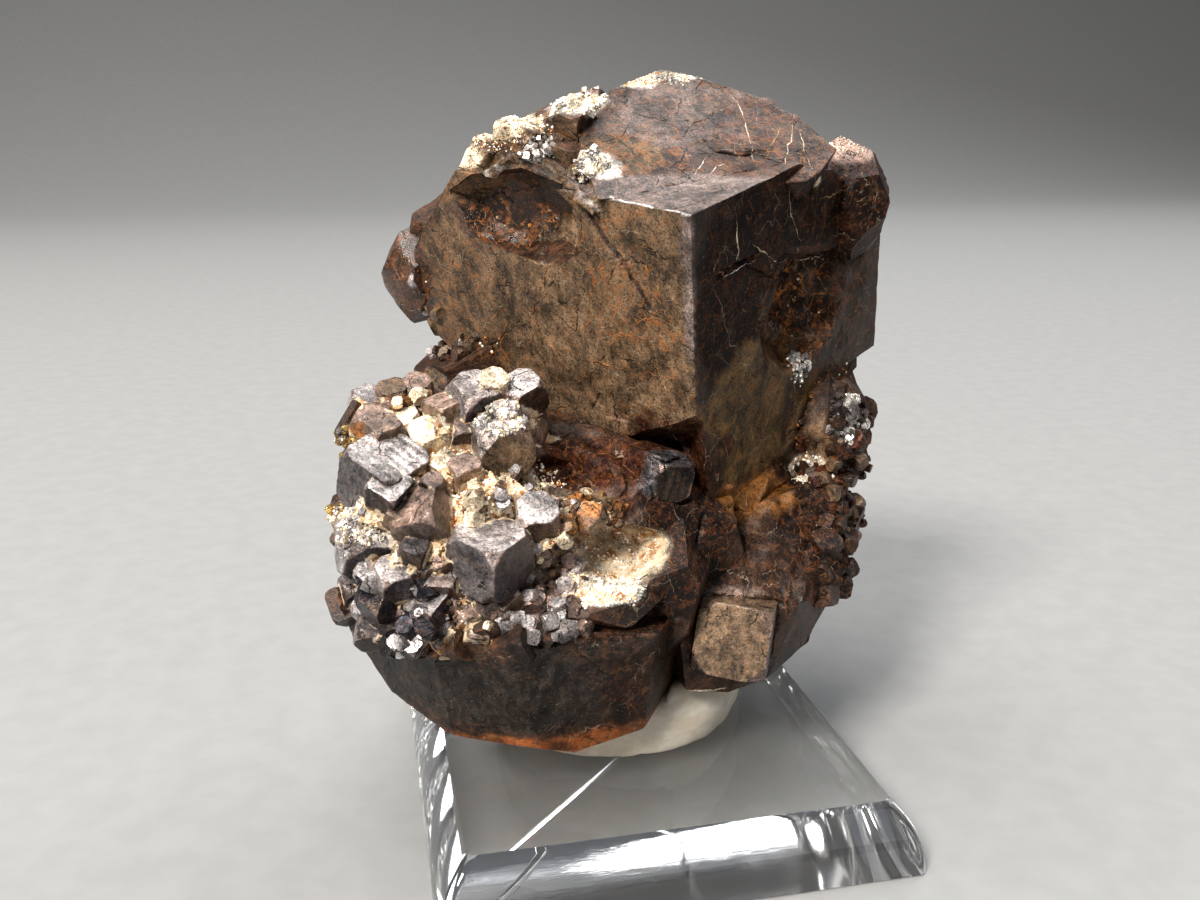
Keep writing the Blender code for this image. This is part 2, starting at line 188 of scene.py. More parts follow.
def cellular(points: Array, size: float, seed: int) -> tuple[Array, Array, Array]:
    """Cells round random middles, one middle in each cube of a grid.

    Args:
        points: positions, one to a row.
        size: the edge of the cubes, in millimetres.
        seed: a number that picks one pattern.

    Returns:
        The distances to the nearest and second nearest middle, as shares of the size, and a
        random number from 0 to 1 that belongs to the nearest.
    """
    scaled = points / size
    cell = np.floor(scaled).astype(np.int64)
    first = np.full(len(points), 9.0)
    second = np.full(len(points), 9.0)
    owner = np.zeros(len(points))
    for step in np.ndindex(3, 3, 3):
        there = cell + np.array(step) - 1
        middle = there + np.stack([hashed(there, seed + axis) for axis in range(3)], axis=1)
        away = np.linalg.norm(scaled - middle, axis=1)
        nearer = away < first
        second = np.where(nearer, first, np.minimum(second, away))
        owner = np.where(nearer, hashed(there, seed + 5), owner)
        first = np.where(nearer, away, first)
    return first, second, owner


def intergrown(points: Array, size: float, seed: int) -> Array:
    """Heights of intergrown cubes, each turned its own way round a random middle.

    A cube's height is its reach less the greatest distance to its middle along its own axes, and
    the highest cube counts.

    Args:
        points: positions, one to a row.
        size: the spacing of the cubes, in millimetres.
        seed: a number that picks one pattern.

    Returns:
        A height from about -0.5 to 0.8 for each point, as a share of the size.
    """
    scaled = points / size
    cell = np.floor(scaled).astype(np.int64)
    best = np.full(len(points), -9.0)
    for step in np.ndindex(3, 3, 3):
        there = cell + np.array(step) - 1
        random = [hashed(there, seed + 3 * part) for part in range(6)]
        x, y, z = (scaled - there - np.stack(random[:3], axis=1)).T
        one, two = 2.0 * np.pi * random[3], 2.0 * np.pi * random[4]
        x, y = np.cos(one) * x - np.sin(one) * y, np.sin(one) * x + np.cos(one) * y
        y, z = np.cos(two) * y - np.sin(two) * z, np.sin(two) * y + np.cos(two) * z
        reach = np.maximum(np.maximum(np.abs(x), np.abs(y)), np.abs(z))
        best = np.maximum(best, 0.35 + 0.45 * random[5] - reach)
    return best


@dataclass(frozen=True)
class Relief:
    """A layer of relief: its features' size and height in millimetres, and its seed."""

    size: float
    height: float
    seed: int

    def waves(self, points: Array, octaves: int = 4) -> Array:
        """Returns the layer's heights as noise."""
        return self.height * fractal(points, self.size, self.seed, octaves)

    def cubes(self, points: Array) -> Array:
        """Returns the layer's heights as intergrown cubes."""
        return self.height * intergrown(points, self.size, self.seed)

    def steps(self, points: Array, bend: "Relief") -> Array:
        """Level cells, each at its own height.

        Args:
            points: positions, one to a row.
            bend: the layer that bends the seams between the cells.

        Returns:
            A height from minus half the layer's to plus half, for each point.
        """
        _, _, level = cellular(points + bend.waves(points)[:, None], self.size, self.seed)
        return self.height * (level - 0.5)


@dataclass(frozen=True)
class CrystalFrame:
    """A large crystal's own frame: its corner, and its turn, lean and roll."""

    corner: Point
    stands: Point

    def local(self, points: Array) -> Array:
        """Returns points of the stone's frame in the crystal's own frame."""
        return (points - np.array(self.corner)) @ stand(*self.stands)


MAIN = CrystalFrame((2.9, -7.0, 42.1), (-41.0, 13.6, -3.8))
CROWN = CrystalFrame((-2.5, -2.6, 43.1), (8.3, -50.8, 0.0))


@dataclass(frozen=True)
class Zone:
    """A soft patch of the stone, and what it changes there; None leaves a value as it is."""

    centre: Point
    radii: Point
    tint: Tint | None = None
    gloss: float | None = None
    metal: float | None = None
    crust: float | None = None
    rust: float | None = None
    facing: Point | None = None
    within: CrystalFrame | None = None
    ragged: float = 0.25

    FURTHEST = 1.6
    EDGE = (0.75, 1.05)
    FACING = (0.6, 0.85)
    RAGGED_SIZE = 1.9
    RAGGED_SEED = 31

    def weight(self, points: Array, normals: Array) -> Array:
        """The patch's share at each point: 1 inside an ellipsoid, 0 outside, with a ragged rim.

        Args:
            points: positions on the stone.
            normals: the surface's direction at each.

        Returns:
            A share from 0 to 1 for each point.
        """
        here = points if self.within is None else self.within.local(points)
        away = np.linalg.norm((here - np.array(self.centre)) / np.array(self.radii), axis=1)
        near = away < self.FURTHEST
        share = np.zeros(len(points))
        rim = away[near] + self.ragged * fractal(points[near], self.RAGGED_SIZE, self.RAGGED_SEED)
        share[near] = 1.0 - eased(rim, *self.EDGE)
        if self.facing is not None:
            share *= eased(normals @ unit(np.array(self.facing)), *self.FACING)
        return share


@dataclass
class Paint:
    """What the stone's finish reads at each corner of a mesh."""

    tint: Array
    gloss: Array
    metal: Array
    crust: Array
    rust: Array

    VALUES = ("gloss", "metal", "crust", "rust")
    PLAIN_RUST = 0.2

    @classmethod
    def plain(cls, count: int, tint: Tint, gloss: float = 0.35, metal: float = 0.0) -> "Paint":
        """Returns the same paint for a number of corners."""
        full = np.full(count, 1.0)
        colours = np.tile(tint.value, (count, 1))
        return cls(colours, full * gloss, full * metal, full * 0.0, full * cls.PLAIN_RUST)

    def lay(self, zone: Zone, share: Array) -> None:
        """Blends a zone's values in.

        Args:
            zone: the zone.
            share: its share at each corner.
        """
        if zone.tint is not None:
            self.tint += (np.array(zone.tint.value) - self.tint) * share[:, None]
        for name in self.VALUES:
            value = getattr(zone, name)
            if value is not None:
                kept = getattr(self, name)
                kept += (value - kept) * share


@dataclass
class Surface:
    """A closed surface of triangles, in millimetres, each in a numbered flat facet."""

    points: Array
    triangles: Array
    facet: Array = field(default_factory=lambda: np.zeros(0, dtype=np.int64))

    MERGE_DISTANCE = 1e-6
    FLAT_ANGLE = 1.0
    CUT_ROUNDS = 12

    @classmethod
    def of_node(cls, name: str) -> "Surface":
        """Copies a solid's mesh and merges the corners that its triangles share.

        Args:
            name: the solid's name.

        Returns:
            The surface, in the stone's frame.
        """
        bm = bmesh.new()
        bm.from_mesh(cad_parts[name].data)
        bmesh.ops.remove_doubles(bm, verts=bm.verts, dist=cls.MERGE_DISTANCE)
        bmesh.ops.triangulate(bm, faces=bm.faces)
        copy = bpy.data.meshes.new(f"{name}_copy")
        bm.to_mesh(copy)
        bm.free()
        points = np.empty(3 * len(copy.vertices))
        copy.vertices.foreach_get("co", points)
        triangles = np.empty(3 * len(copy.polygons), dtype=np.int32)
        copy.loops.foreach_get("vertex_index", triangles)
        bpy.data.meshes.remove(copy)
        made = cls(to_stone(points.reshape(-1, 3) / MM), triangles.reshape(-1, 3).astype(np.int64))
        made.facet = np.arange(len(made.triangles))
        return made

    def face_normals(self) -> tuple[Array, Array]:
        """Returns each triangle's direction, and its area."""
        a, b, c = (self.points[self.triangles[:, i]] for i in range(3))
        crossed = np.cross(b - a, c - a)
        return unit(crossed), np.linalg.norm(crossed, axis=1) / 2.0

    def normals(self) -> Array:
        """Returns each corner's direction: the mean of its triangles, by area."""
        direction, area = self.face_normals()
        return unit(self.gathered(direction * area[:, None]))

    def gathered(self, values: Array) -> Array:
        """Sums values of the triangles at each of their corners.

        Args:
            values: one number, or one row of numbers, for each triangle.

        Returns:
            The sum for each corner.
        """
        columns = values if values.ndim == 2 else values[:, None]
        rows = self.triangles.ravel()
        count = len(self.points)
        sums = [np.bincount(rows, np.repeat(column, 3), minlength=count) for column in columns.T]
        return np.stack(sums, axis=1) if values.ndim == 2 else sums[0]

    def edges(self) -> tuple[Array, Array]:
        """Returns the edges as pairs of corners, and for each triangle its three edges' numbers."""
        pairs = np.concatenate([self.triangles[:, [i, (i + 1) % 3]] for i in range(3)])
        keys = np.sort(pairs, axis=1)
        whole, number = np.unique(keys[:, 0] * len(self.points) + keys[:, 1], return_inverse=True)
        found = np.stack([whole // len(self.points), whole % len(self.points)], axis=1)
        return found, number.reshape(3, -1).T

    def mean_of_neighbours(self, values: Array, rounds: int, share: Array | float = 1.0) -> Array:
        """Evens values out over the surface, a round at a time.

        Args:
            values: a row of numbers for each corner.
            rounds: how many times each corner goes towards the mean of the corners next to it.
            share: how far it goes each time, for all corners or for each.

        Returns:
            The evened values.
        """
        pairs, _ = self.edges()
        count = len(self.points)
        degree = np.bincount(pairs.ravel(), minlength=count)[:, None]
        go = np.reshape(share, (-1, 1))
        for _ in range(rounds):
            sums = [
                np.bincount(pairs[:, 0], column[pairs[:, 1]], minlength=count)
                + np.bincount(pairs[:, 1], column[pairs[:, 0]], minlength=count)
                for column in values.T
            ]
            values = values + (np.stack(sums, axis=1) / degree - values) * go
        return values

    def find_facets(self) -> tuple[Array, Array]:
        """Numbers the flat facets: triangles that share an edge and lie in one plane.

        Returns:
            For each triangle, the mean angle in degrees at its facet's outward edges, and the
            facet's area.
        """
        direction, area = self.face_normals()
        middle = self.points[self.triangles].mean(axis=1)
        pairs, number = self.edges()
        order = np.argsort(number.ravel(), kind="stable")
        owner = (order // 3).reshape(-1, 2)
        one, two = owner[:, 0], owner[:, 1]
        cosine = np.sum(direction[one] * direction[two], axis=1)
        angle = np.degrees(np.arccos(np.clip(cosine, -1.0, 1.0)))
        flat = angle < self.FLAT_ANGLE
        label = np.arange(len(self.triangles))
        while True:
            low = np.minimum(label[one[flat]], label[two[flat]])
            fresh = label.copy()
            np.minimum.at(fresh, one[flat], low)
            np.minimum.at(fresh, two[flat], low)
            fresh = fresh[fresh]
            if np.array_equal(fresh, label):
                break
            label = fresh
        self.facet = label
        outward = np.sum(direction[one] * (middle[two] - middle[one]), axis=1) < 0.0
        bends = outward & ~flat
        length = np.linalg.norm(self.points[pairs[:, 0]] - self.points[pairs[:, 1]], axis=1)
        count = len(label)
        total = np.zeros(count)
        weight = np.zeros(count)
        for side in (one, two):
            total += np.bincount(label[side[bends]], (angle * length)[bends], minlength=count)
            weight += np.bincount(label[side[bends]], length[bends], minlength=count)
        sizes = np.bincount(label, area, minlength=count)
        return (total / np.maximum(weight, 1e-9))[label], sizes[label]

    def split(self, wanted: Array, pairs: Array, number: Array) -> bool:
        """Cuts each edge that is longer than wanted at its middle, and its triangles with it.

        A triangle with one cut edge becomes two, with two cut edges three, and with three cut
        edges four. A facet's new triangles stay in its plane and keep its number.

        Args:
            wanted: the greatest length wanted for each edge.
            pairs: the edges, as pairs of corners.
            number: for each triangle, its three edges' numbers.

        Returns:
            Whether any edge was cut.
        """
        start, end = self.points[pairs[:, 0]], self.points[pairs[:, 1]]
        long = np.linalg.norm(start - end, axis=1) > wanted
        if not long.any():
            return False
        middle = np.full(len(pairs), -1)
        middle[long] = len(self.points) + np.arange(long.sum())
        self.points = np.concatenate([self.points, (start[long] + end[long]) / 2.0])
        cut = long[number]
        how_many = cut.sum(axis=1)
        turn = np.where(how_many == 1, np.argmax(cut, axis=1), (np.argmin(cut, axis=1) + 1) % 3)
        turn = np.where((how_many == 1) | (how_many == 2), turn, 0)
        columns = (np.arange(3)[None, :] + turn[:, None]) % 3
        corner = np.take_along_axis(self.triangles, columns, axis=1)
        half = middle[np.take_along_axis(number, columns, axis=1)]
        a, b, c = corner.T
        ab, bc, ca = half.T
        across = np.linalg.norm(self.points[a] - self.points[bc], axis=1)
        other = np.linalg.norm(self.points[ab] - self.points[c], axis=1)
        none, one, three = how_many == 0, how_many == 1, how_many == 3
        near, far = (how_many == 2) & (across <= other), (how_many == 2) & (across > other)
        parts = [
            (none, (a, b, c)),
            (one, (a, ab, c)), (one, (ab, b, c)),
            (near, (ab, b, bc)), (near, (a, ab, bc)), (near, (a, bc, c)),
            (far, (ab, b, bc)), (far, (a, ab, c)), (far, (ab, bc, c)),
            (three, (a, ab, ca)), (three, (ab, b, bc)), (three, (bc, c, ca)), (three, (ab, bc, ca)),
        ]
        self.triangles = np.concatenate([np.stack(corners, axis=1)[rows] for rows, corners in parts])
        self.facet = np.concatenate([self.facet[rows] for rows, _ in parts])
        return True

    def cut_fine(self, wanted: Callable[[Array], Array] | float) -> None:
        """Cuts edges at their middles until none is longer than wanted.

        Args:
            wanted: the greatest length wanted, or a function that gives it for edges' middles.
        """
        for _ in range(self.CUT_ROUNDS):
            pairs, number = self.edges()
            middles = self.points[pairs].mean(axis=1)
            lengths = wanted(middles) if callable(wanted) else np.full(len(pairs), wanted)
            if not self.split(lengths, pairs, number):
                return


def closed_rings(rings: int, around: int) -> Array:
    """The triangles of a row of rings of points, joined into a tube and closed at both ends.

    Args:
        rings: how many rings there are.
        around: how many points each has.

    Returns:
        Three points to a row, numbered ring by ring.
    """
    ring, place = np.meshgrid(np.arange(rings - 1), np.arange(around), indexing="ij")
    here = (ring * around + place).ravel()
    beside = (ring * around + (place + 1) % around).ravel()
    walls = [(here, here + around, beside), (beside, here + around, beside + around)]
    cap = np.arange(1, around - 1)
    last = (rings - 1) * around
    ends = [(0 * cap, cap, cap + 1), (last + 0 * cap, last + cap + 1, last + cap)]
    return np.concatenate([np.stack(faces, axis=1) for faces in walls + ends])


def add_piece(name: str, points: Array, triangles: Array, paint: Paint | None = None) -> bpy.types.Object:
    """Makes an object of a surface.

    Args:
        name: the object's name.
        points: corners in the object's frame, in millimetres.
        triangles: three corners to a row, running round to face outwards.
        paint: what the stone's finish reads, or None.

    Returns:
        The object, at the origin.
    """
    mesh = bpy.data.meshes.new(name)
    mesh.vertices.add(len(points))
    mesh.vertices.foreach_set("co", (points * MM).astype(np.float32).ravel())
    mesh.loops.add(3 * len(triangles))
    mesh.loops.foreach_set("vertex_index", triangles.astype(np.int32).ravel())
    mesh.polygons.add(len(triangles))
    mesh.polygons.foreach_set("loop_start", np.arange(0, 3 * len(triangles), 3, dtype=np.int32))
    mesh.update(calc_edges=True)
    if paint is not None:
        tint = mesh.attributes.new("tint", "FLOAT_COLOR", "POINT")
        opaque = np.column_stack([paint.tint, np.ones(len(points))])
        tint.data.foreach_set("color", opaque.astype(np.float32).ravel())
        for value_name in Paint.VALUES:
            values = mesh.attributes.new(value_name, "FLOAT", "POINT")
            values.data.foreach_set("value", getattr(paint, value_name).astype(np.float32))
    made = bpy.data.objects.new(name, mesh)
    bpy.context.scene.collection.objects.link(made)
    log.info("%s: %d triangles", name, len(triangles))
    return made


def shade(piece: bpy.types.Object, angle: float | None) -> None:
    """Shades a piece smooth or flat.

    Args:
        piece: the object.
        angle: edges sharper than this, in degrees, stay sharp; None shades it flat.
    """
    if angle is None:
        piece.data.shade_flat()
        return
    piece.data.shade_smooth()
    piece.data.set_sharp_from_angle(angle=math.radians(angle))


def dress(piece: bpy.types.Object, material: bpy.types.Material, slot: str, *nodes: str) -> None:
    """Gives a piece its finish, parents it to the root body, and hides the solids it is shown in place of.

    Args:
        piece: the object.
        material: its finish.
        slot: a name for that finish; not used.
        nodes: the solids that the piece is shown in place of.
    """
    piece.data.materials.append(material)
    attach(piece, "root")
    if nodes:
        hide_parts(*nodes)


Value = bpy.types.NodeSocket | float | Sequence[float]


class Graph:
    """A finish's shader, put together a node at a time."""

    def __init__(self, name: str) -> None:
        """Starts an empty shader.

        Args:
            name: its name.
        """
        self.material = bpy.data.materials.new(name)
        self.material.use_nodes = True
        self.tree = self.material.node_tree
        self.tree.nodes.clear()

    def add(self, kind: str, inputs: dict[str | int, Value], **settings: object) -> bpy.types.Node:
        """Adds a node, and sets or links its inputs.

        Args:
            kind: the node's type, without its first word.
            inputs: values or sockets, by the inputs' names or numbers.
            settings: the node's own settings.

        Returns:
            The node.
        """
        node = self.tree.nodes.new(f"ShaderNode{kind}")
        for key, value in settings.items():
            setattr(node, key, value)
        for key, value in inputs.items():
            if isinstance(value, bpy.types.NodeSocket):
                self.tree.links.new(value, node.inputs[key])
            else:
                node.inputs[key].default_value = value
        return node

    def math(self, operation: str, one: Value, two: Value = 0.0) -> bpy.types.NodeSocket:
        """Returns the outcome of a sum on two values."""
        return self.add("Math", {0: one, 1: two}, operation=operation).outputs[0]

    def times(self, one: Value, *others: Value) -> bpy.types.NodeSocket:
        """Returns the product of some values."""
        return reduce(partial(self.math, "MULTIPLY"), others, one)

    def plus(self, one: Value, *others: Value) -> bpy.types.NodeSocket:
        """Returns the sum of some values."""
        return reduce(partial(self.math, "ADD"), others, one)

    def swing(self, value: Value, height: float) -> bpy.types.NodeSocket:
        """Returns a value from 0 to 1 moved to swing about 0, times a height."""
        return self.times(self.math("SUBTRACT", value, 0.5), height)

    def mix(self, share: Value, one: Value, two: Value, blend: str = "MIX") -> bpy.types.NodeSocket:
        """Returns two colours blended by a share."""
        settings = {"data_type": "RGBA", "blend_type": blend}
        return self.add("Mix", {0: share, 6: one, 7: two}, **settings).outputs[2]

    def between(self, share: Value, one: Value, two: Value) -> bpy.types.NodeSocket:
        """Returns a number that goes from one value to another by a share."""
        return self.add("Mix", {0: share, 2: one, 3: two}, data_type="FLOAT").outputs[0]

    def smooth(
        self, value: Value, low: float, high: float, start: float = 0.0, end: float = 1.0
    ) -> bpy.types.NodeSocket:
        """Returns a value eased from start at low to end at high."""
        inputs = {0: value, 1: low, 2: high, 3: start, 4: end}
        return self.add("MapRange", inputs, interpolation_type="SMOOTHSTEP").outputs[0]

    def toned(
        self, colour: Value, value: Value, low: float, high: float, dark: float, light: float
    ) -> bpy.types.NodeSocket:
        """Darkens and lightens a colour by a value.

        Args:
            colour: the colour.
            value: what decides, such as noise.
            low: the value at and below which the colour is darkest.
            high: the value at and above which it is lightest.
            dark: what the colour is multiplied by at its darkest.
            light: what it is multiplied by at its lightest.

        Returns:
            The toned colour.
        """
        return self.mix(1.0, colour, self.smooth(value, low, high, dark, light), "MULTIPLY")

    def noise(
        self, place: Value, scale: float, detail: float = 6.0, rough: float = 0.6
    ) -> bpy.types.NodeSocket:
        """Returns noise from 0 to 1, with a number of features in each millimetre."""
        inputs = {"Vector": place, "Scale": scale, "Detail": detail, "Roughness": rough}
        return self.add("TexNoise", inputs).outputs[0]

    def seams(self, place: Value, scale: float) -> bpy.types.NodeSocket:
        """Returns the distance to the nearest seam between random cells."""
        inputs = {"Vector": place, "Scale": scale}
        return self.add("TexVoronoi", inputs, feature="DISTANCE_TO_EDGE").outputs["Distance"]

    def place(
        self, scale: Point = (1.0, 1.0, 1.0), shift: Point = (0.0, 0.0, 0.0)
    ) -> bpy.types.NodeSocket:
        """Returns object coordinates in millimetres, stretched and shifted."""
        coordinates = self.add("TexCoord", {}).outputs["Object"]
        inputs = {"Vector": coordinates, "Scale": tuple(s / MM for s in scale), "Location": shift}
        return self.add("Mapping", inputs).outputs[0]

    def warped(self, place: Value, scale: float, reach: float) -> bpy.types.NodeSocket:
        """Returns a place pushed about by noise.

        Args:
            place: coordinates in millimetres.
            scale: features of the noise in each millimetre.
            reach: how far it pushes, in millimetres.

        Returns:
            The pushed coordinates.
        """
        inputs = {"Vector": place, "Scale": scale, "Detail": 3.0, "Roughness": 0.6}
        colour = self.add("TexNoise", inputs).outputs[1]
        middle = (0.5, 0.5, 0.5)
        centred = self.add("VectorMath", {0: colour, 1: middle}, operation="SUBTRACT").outputs[0]
        pushed = self.add("VectorMath", {0: centred, "Scale": reach}, operation="SCALE").outputs[0]
        return self.add("VectorMath", {0: place, 1: pushed}, operation="ADD").outputs[0]

    def attribute(self, name: str, output: str = "Fac") -> bpy.types.NodeSocket:
        """Returns a value kept on the mesh."""
        return self.add("Attribute", {}, attribute_name=name, attribute_type="GEOMETRY").outputs[output]

    def bump(self, height: Value, strength: float, distance: float) -> bpy.types.NodeSocket:
        """Returns a surface direction roughened by a height, in millimetres of distance."""
        inputs = {"Height": height, "Strength": strength, "Distance": distance * MM}
        return self.add("Bump", inputs).outputs[0]

    def finish(self, inputs: dict[str | int, Value]) -> bpy.types.Material:
        """Closes the shader with a Principled surface of these inputs, and returns the material."""
        surface = self.add("BsdfPrincipled", inputs)
        self.add("OutputMaterial", {"Surface": surface.outputs[0]})
        return self.material


def opaque(colour: Colour) -> tuple[float, float, float, float]:
    """Returns a colour with a full fourth channel, as shader sockets take it."""
    return (*colour, 1.0)


class StonePatterns:
    """The noises that the stone's finish shares between its colour, its shine and its relief."""

    def __init__(self, g: Graph) -> None:
        """Adds the noises and the mesh's own values to a shader.

        Args:
            g: the shader.
        """
        self.place = g.place()
        self.warped = g.warped(self.place, 0.55, 1.3)
        self.blotch = g.noise(self.warped, 0.42, 6.0, 0.66)
        self.patch = g.noise(g.warped(self.place, 1.4, 0.30), 1.7, 5.0, 0.68)
        self.speck = g.noise(g.place(shift=(13.0, 4.0, 9.0)), 5.5, 2.0, 0.5)
        self.grain = g.noise(self.place, 9.0, 2.0, 0.6)
        self.streak = g.noise(g.place((1.0, 1.0, 0.14)), 2.2, 4.0, 0.65)
        self.stain = g.noise(g.place(shift=(31.0, 12.0, 7.0)), 0.8, 5.0, 0.7)
        self.broken = g.noise(g.place(shift=(5.0, 40.0, 3.0)), 0.6, 2.0, 0.5)
        self.powder = g.noise(g.place(shift=(2.0, 8.0, 14.0)), 0.9, 5.0, 0.7)
        self.rust = g.attribute("rust")
        self.gloss = g.attribute("gloss")


@dataclass(frozen=True)
class LimoniteFinish:
    """The stone: brown limonite with rust, cracks, pale veins, and a powdery crust in places."""

    rust: Colour = (0.230, 0.068, 0.013)
    tan: Colour = (0.210, 0.120, 0.055)
    thread: Colour = (0.300, 0.110, 0.028)
    vein: Colour = (0.380, 0.280, 0.190)
    crack: Colour = (0.010, 0.006, 0.004)
    crust_low: Colour = (0.380, 0.165, 0.055)
    crust_middle: Colour = (0.700, 0.530, 0.340)
    crust_high: Colour = (0.850, 0.790, 0.690)
    dull: float = 0.62
    polished: float = 0.20
    powdery: float = 0.92
    least_reflection: float = 0.04
    most_reflection: float = 0.58

    def mottled(self, g: Graph, seen: StonePatterns) -> bpy.types.NodeSocket:
        """The mesh's tint with blotches, patches, grain, specks, streaks and tan stains.

        Args:
            g: the shader.
            seen: its shared noises.

        Returns:
            The colour.
        """
        colour = g.attribute("tint", "Color")
        colour = g.toned(colour, seen.blotch, 0.312, 0.688, 0.35, 1.85)
        colour = g.toned(colour, seen.patch, 0.307, 0.693, 0.52, 1.50)
        colour = g.toned(colour, seen.grain, 0.247, 0.753, 0.50, 1.55)
        colour = g.toned(colour, seen.speck, 0.351, 0.436, 0.38, 1.0)
        tan_specks = g.times(g.smooth(seen.speck, 0.628, 0.713), 0.45)
        colour = g.mix(tan_specks, colour, opaque(self.tan))
        streaked = g.toned(colour, seen.streak, 0.333, 0.667, 0.45, 1.70)
        colour = g.mix(g.smooth(seen.rust, 0.05, 0.25, 1.0, 0.0), colour, streaked)
        stained = g.times(g.smooth(seen.stain, 0.566, 0.675), seen.rust, 0.7)
        return g.mix(stained, colour, opaque(self.tan))

    def rusty(self, g: Graph, seen: StonePatterns) -> bpy.types.NodeSocket:
        """How rusty each place is: in patches, and in threads along the contours of a noise.

        Args:
            g: the shader.
            seen: its shared noises.

        Returns:
            A share from 0 to 1.
        """
        contour = g.math("SUBTRACT", g.noise(seen.warped, 0.95, 5.0, 0.62), 0.5)
        line = g.smooth(g.math("ABSOLUTE", contour), 0.0, 0.023, 1.0, 0.0)
        thread = g.times(line, g.smooth(seen.blotch, 0.396, 0.563))
        either = g.math("MAXIMUM", g.smooth(seen.patch, 0.532, 0.671), thread)
        return g.times(either, seen.rust, g.smooth(seen.grain, 0.212, 0.615, 0.35, 1.0))

    def material(self) -> bpy.types.Material:
        """Builds the shader: tint, mottling, rust, cracks and veins, then the crust over them.

        Returns:
            The stone's material.
        """
        g = Graph("limonite_skin")
        seen = StonePatterns(g)
        rusty = self.rusty(g, seen)
        colour = g.mix(rusty, self.mottled(g, seen), opaque(self.rust))

        net = g.seams(g.warped(g.place(shift=(3.0, 17.0, 6.0)), 1.1, 0.8), 0.58)
        net = g.times(g.smooth(net, 0.005, 0.034, 1.0, 0.0), g.smooth(seen.broken, 0.457, 0.628), seen.rust)
        crack = g.seams(g.warped(seen.place, 1.1, 0.9), 0.26)
        crack = g.times(g.smooth(crack, 0.003, 0.013, 1.0, 0.0), g.smooth(seen.broken, 0.479, 0.564))
        vein = g.seams(g.warped(g.place(shift=(9.0, 2.0, 21.0)), 0.8, 1.4), 0.37)
        vein = g.times(g.smooth(vein, 0.002, 0.012, 1.0, 0.0), g.smooth(seen.broken, 0.500, 0.415))
        vein = g.times(vein, g.smooth(seen.rust, 0.10, 0.30))
        colour = g.mix(net, colour, opaque(self.thread))
        colour = g.mix(g.times(crack, 0.9), colour, opaque(self.crack))
        colour = g.mix(g.times(vein, 0.55), colour, opaque(self.vein))

        raised = g.plus(g.attribute("crust"), g.swing(seen.patch, 1.03), g.swing(seen.grain, 0.30))
        crusted = g.smooth(raised, 0.44, 0.62)
        low = g.smooth(seen.powder, 0.349, 0.500)
        low = g.mix(low, opaque(self.crust_low), opaque(self.crust_middle))
        pale = g.mix(g.smooth(seen.powder, 0.500, 0.651), low, opaque(self.crust_high))
        pale = g.toned(pale, seen.grain, 0.212, 0.788, 0.72, 1.12)
        colour = g.mix(crusted, colour, pale)

        rough = g.plus(g.between(seen.gloss, self.dull, self.polished), g.swing(seen.patch, 0.47))
        rough = g.between(crusted, rough, self.powdery)
        metal = g.times(g.attribute("metal"), g.smooth(crusted, 0.0, 1.0, 1.0, 0.0))
        metal = g.times(metal, g.smooth(rusty, 0.1, 0.6, 1.0, 0.3))
        height = g.plus(g.times(seen.patch, 0.75), g.times(seen.grain, 0.30), g.times(crack, -1.2))
        height = g.plus(height, g.times(g.math("MAXIMUM", vein, net), 0.35))
        height = g.plus(height, g.times(crusted, seen.grain, 1.04))
        return g.finish({
            "Base Color": colour, "Roughness": rough, "Metallic": metal,
            "Normal": g.bump(height, 0.7, 0.16),
            "Specular IOR Level": g.between(seen.gloss, self.least_reflection, self.most_reflection),
        })


@dataclass(frozen=True)
class PuttyFinish:
    """Mounting putty: cream, a little translucent, with faint smears."""

    colour: Colour = (0.780, 0.720, 0.600)
    shadow: Colour = (0.620, 0.540, 0.420)
    roughness: float = 0.55
    glow: float = 0.35
    glow_depth: float = 0.8
    glow_colours: Colour = (1.0, 0.8, 0.5)

    def material(self) -> bpy.types.Material:
        """Returns the putty's material."""
        g = Graph("putty_skin")
        smear = g.noise(g.place((1.0, 1.0, 2.4)), 0.5, 6.0, 0.55)
        fine = g.noise(g.place(), 5.0, 3.0, 0.5)
        colour = g.mix(g.smooth(smear, 0.35, 0.70), opaque(self.shadow), opaque(self.colour))
        height = g.plus(g.times(smear, 0.7), g.times(fine, 0.15))
        return g.finish({
            "Base Color": colour, "Roughness": g.plus(g.swing(fine, 0.3), self.roughness),
            "Normal": g.bump(height, 0.4, 0.2), "Subsurface Weight": self.glow,
            "Subsurface Radius": self.glow_colours, "Subsurface Scale": self.glow_depth * MM,
        })


@dataclass(frozen=True)
class AcrylicFinish:
    """Clear acrylic: plain transmission with a faint grey absorption, and fine wear on its skin."""

    ior: float = 1.49
    colour: Colour = (0.93, 0.955, 0.96)
    density: float = 5.0

    def material(self) -> bpy.types.Material:
        """Returns the block's material."""
        g = Graph("acrylic")
        wear = g.noise(g.place((0.25, 3.0, 1.0)), 1.4, 4.0, 0.65)
        smudge = g.noise(g.place(), 0.22, 3.0, 0.6)
        rough = g.plus(g.smooth(smudge, 0.45, 0.75, 0.0, 0.05), g.smooth(wear, 0.66, 0.74, 0.012, 0.10))
        surface = g.add("BsdfPrincipled", {
            "Base Color": opaque((1.0, 1.0, 1.0)), "Roughness": rough, "IOR": self.ior,
            "Transmission Weight": 1.0, "Normal": g.bump(wear, 0.05, 0.02),
        })
        inside = g.add("VolumeAbsorption", {"Color": opaque(self.colour), "Density": self.density})
        g.add("OutputMaterial", {"Surface": surface.outputs[0], "Volume": inside.outputs[0]})
        return g.material


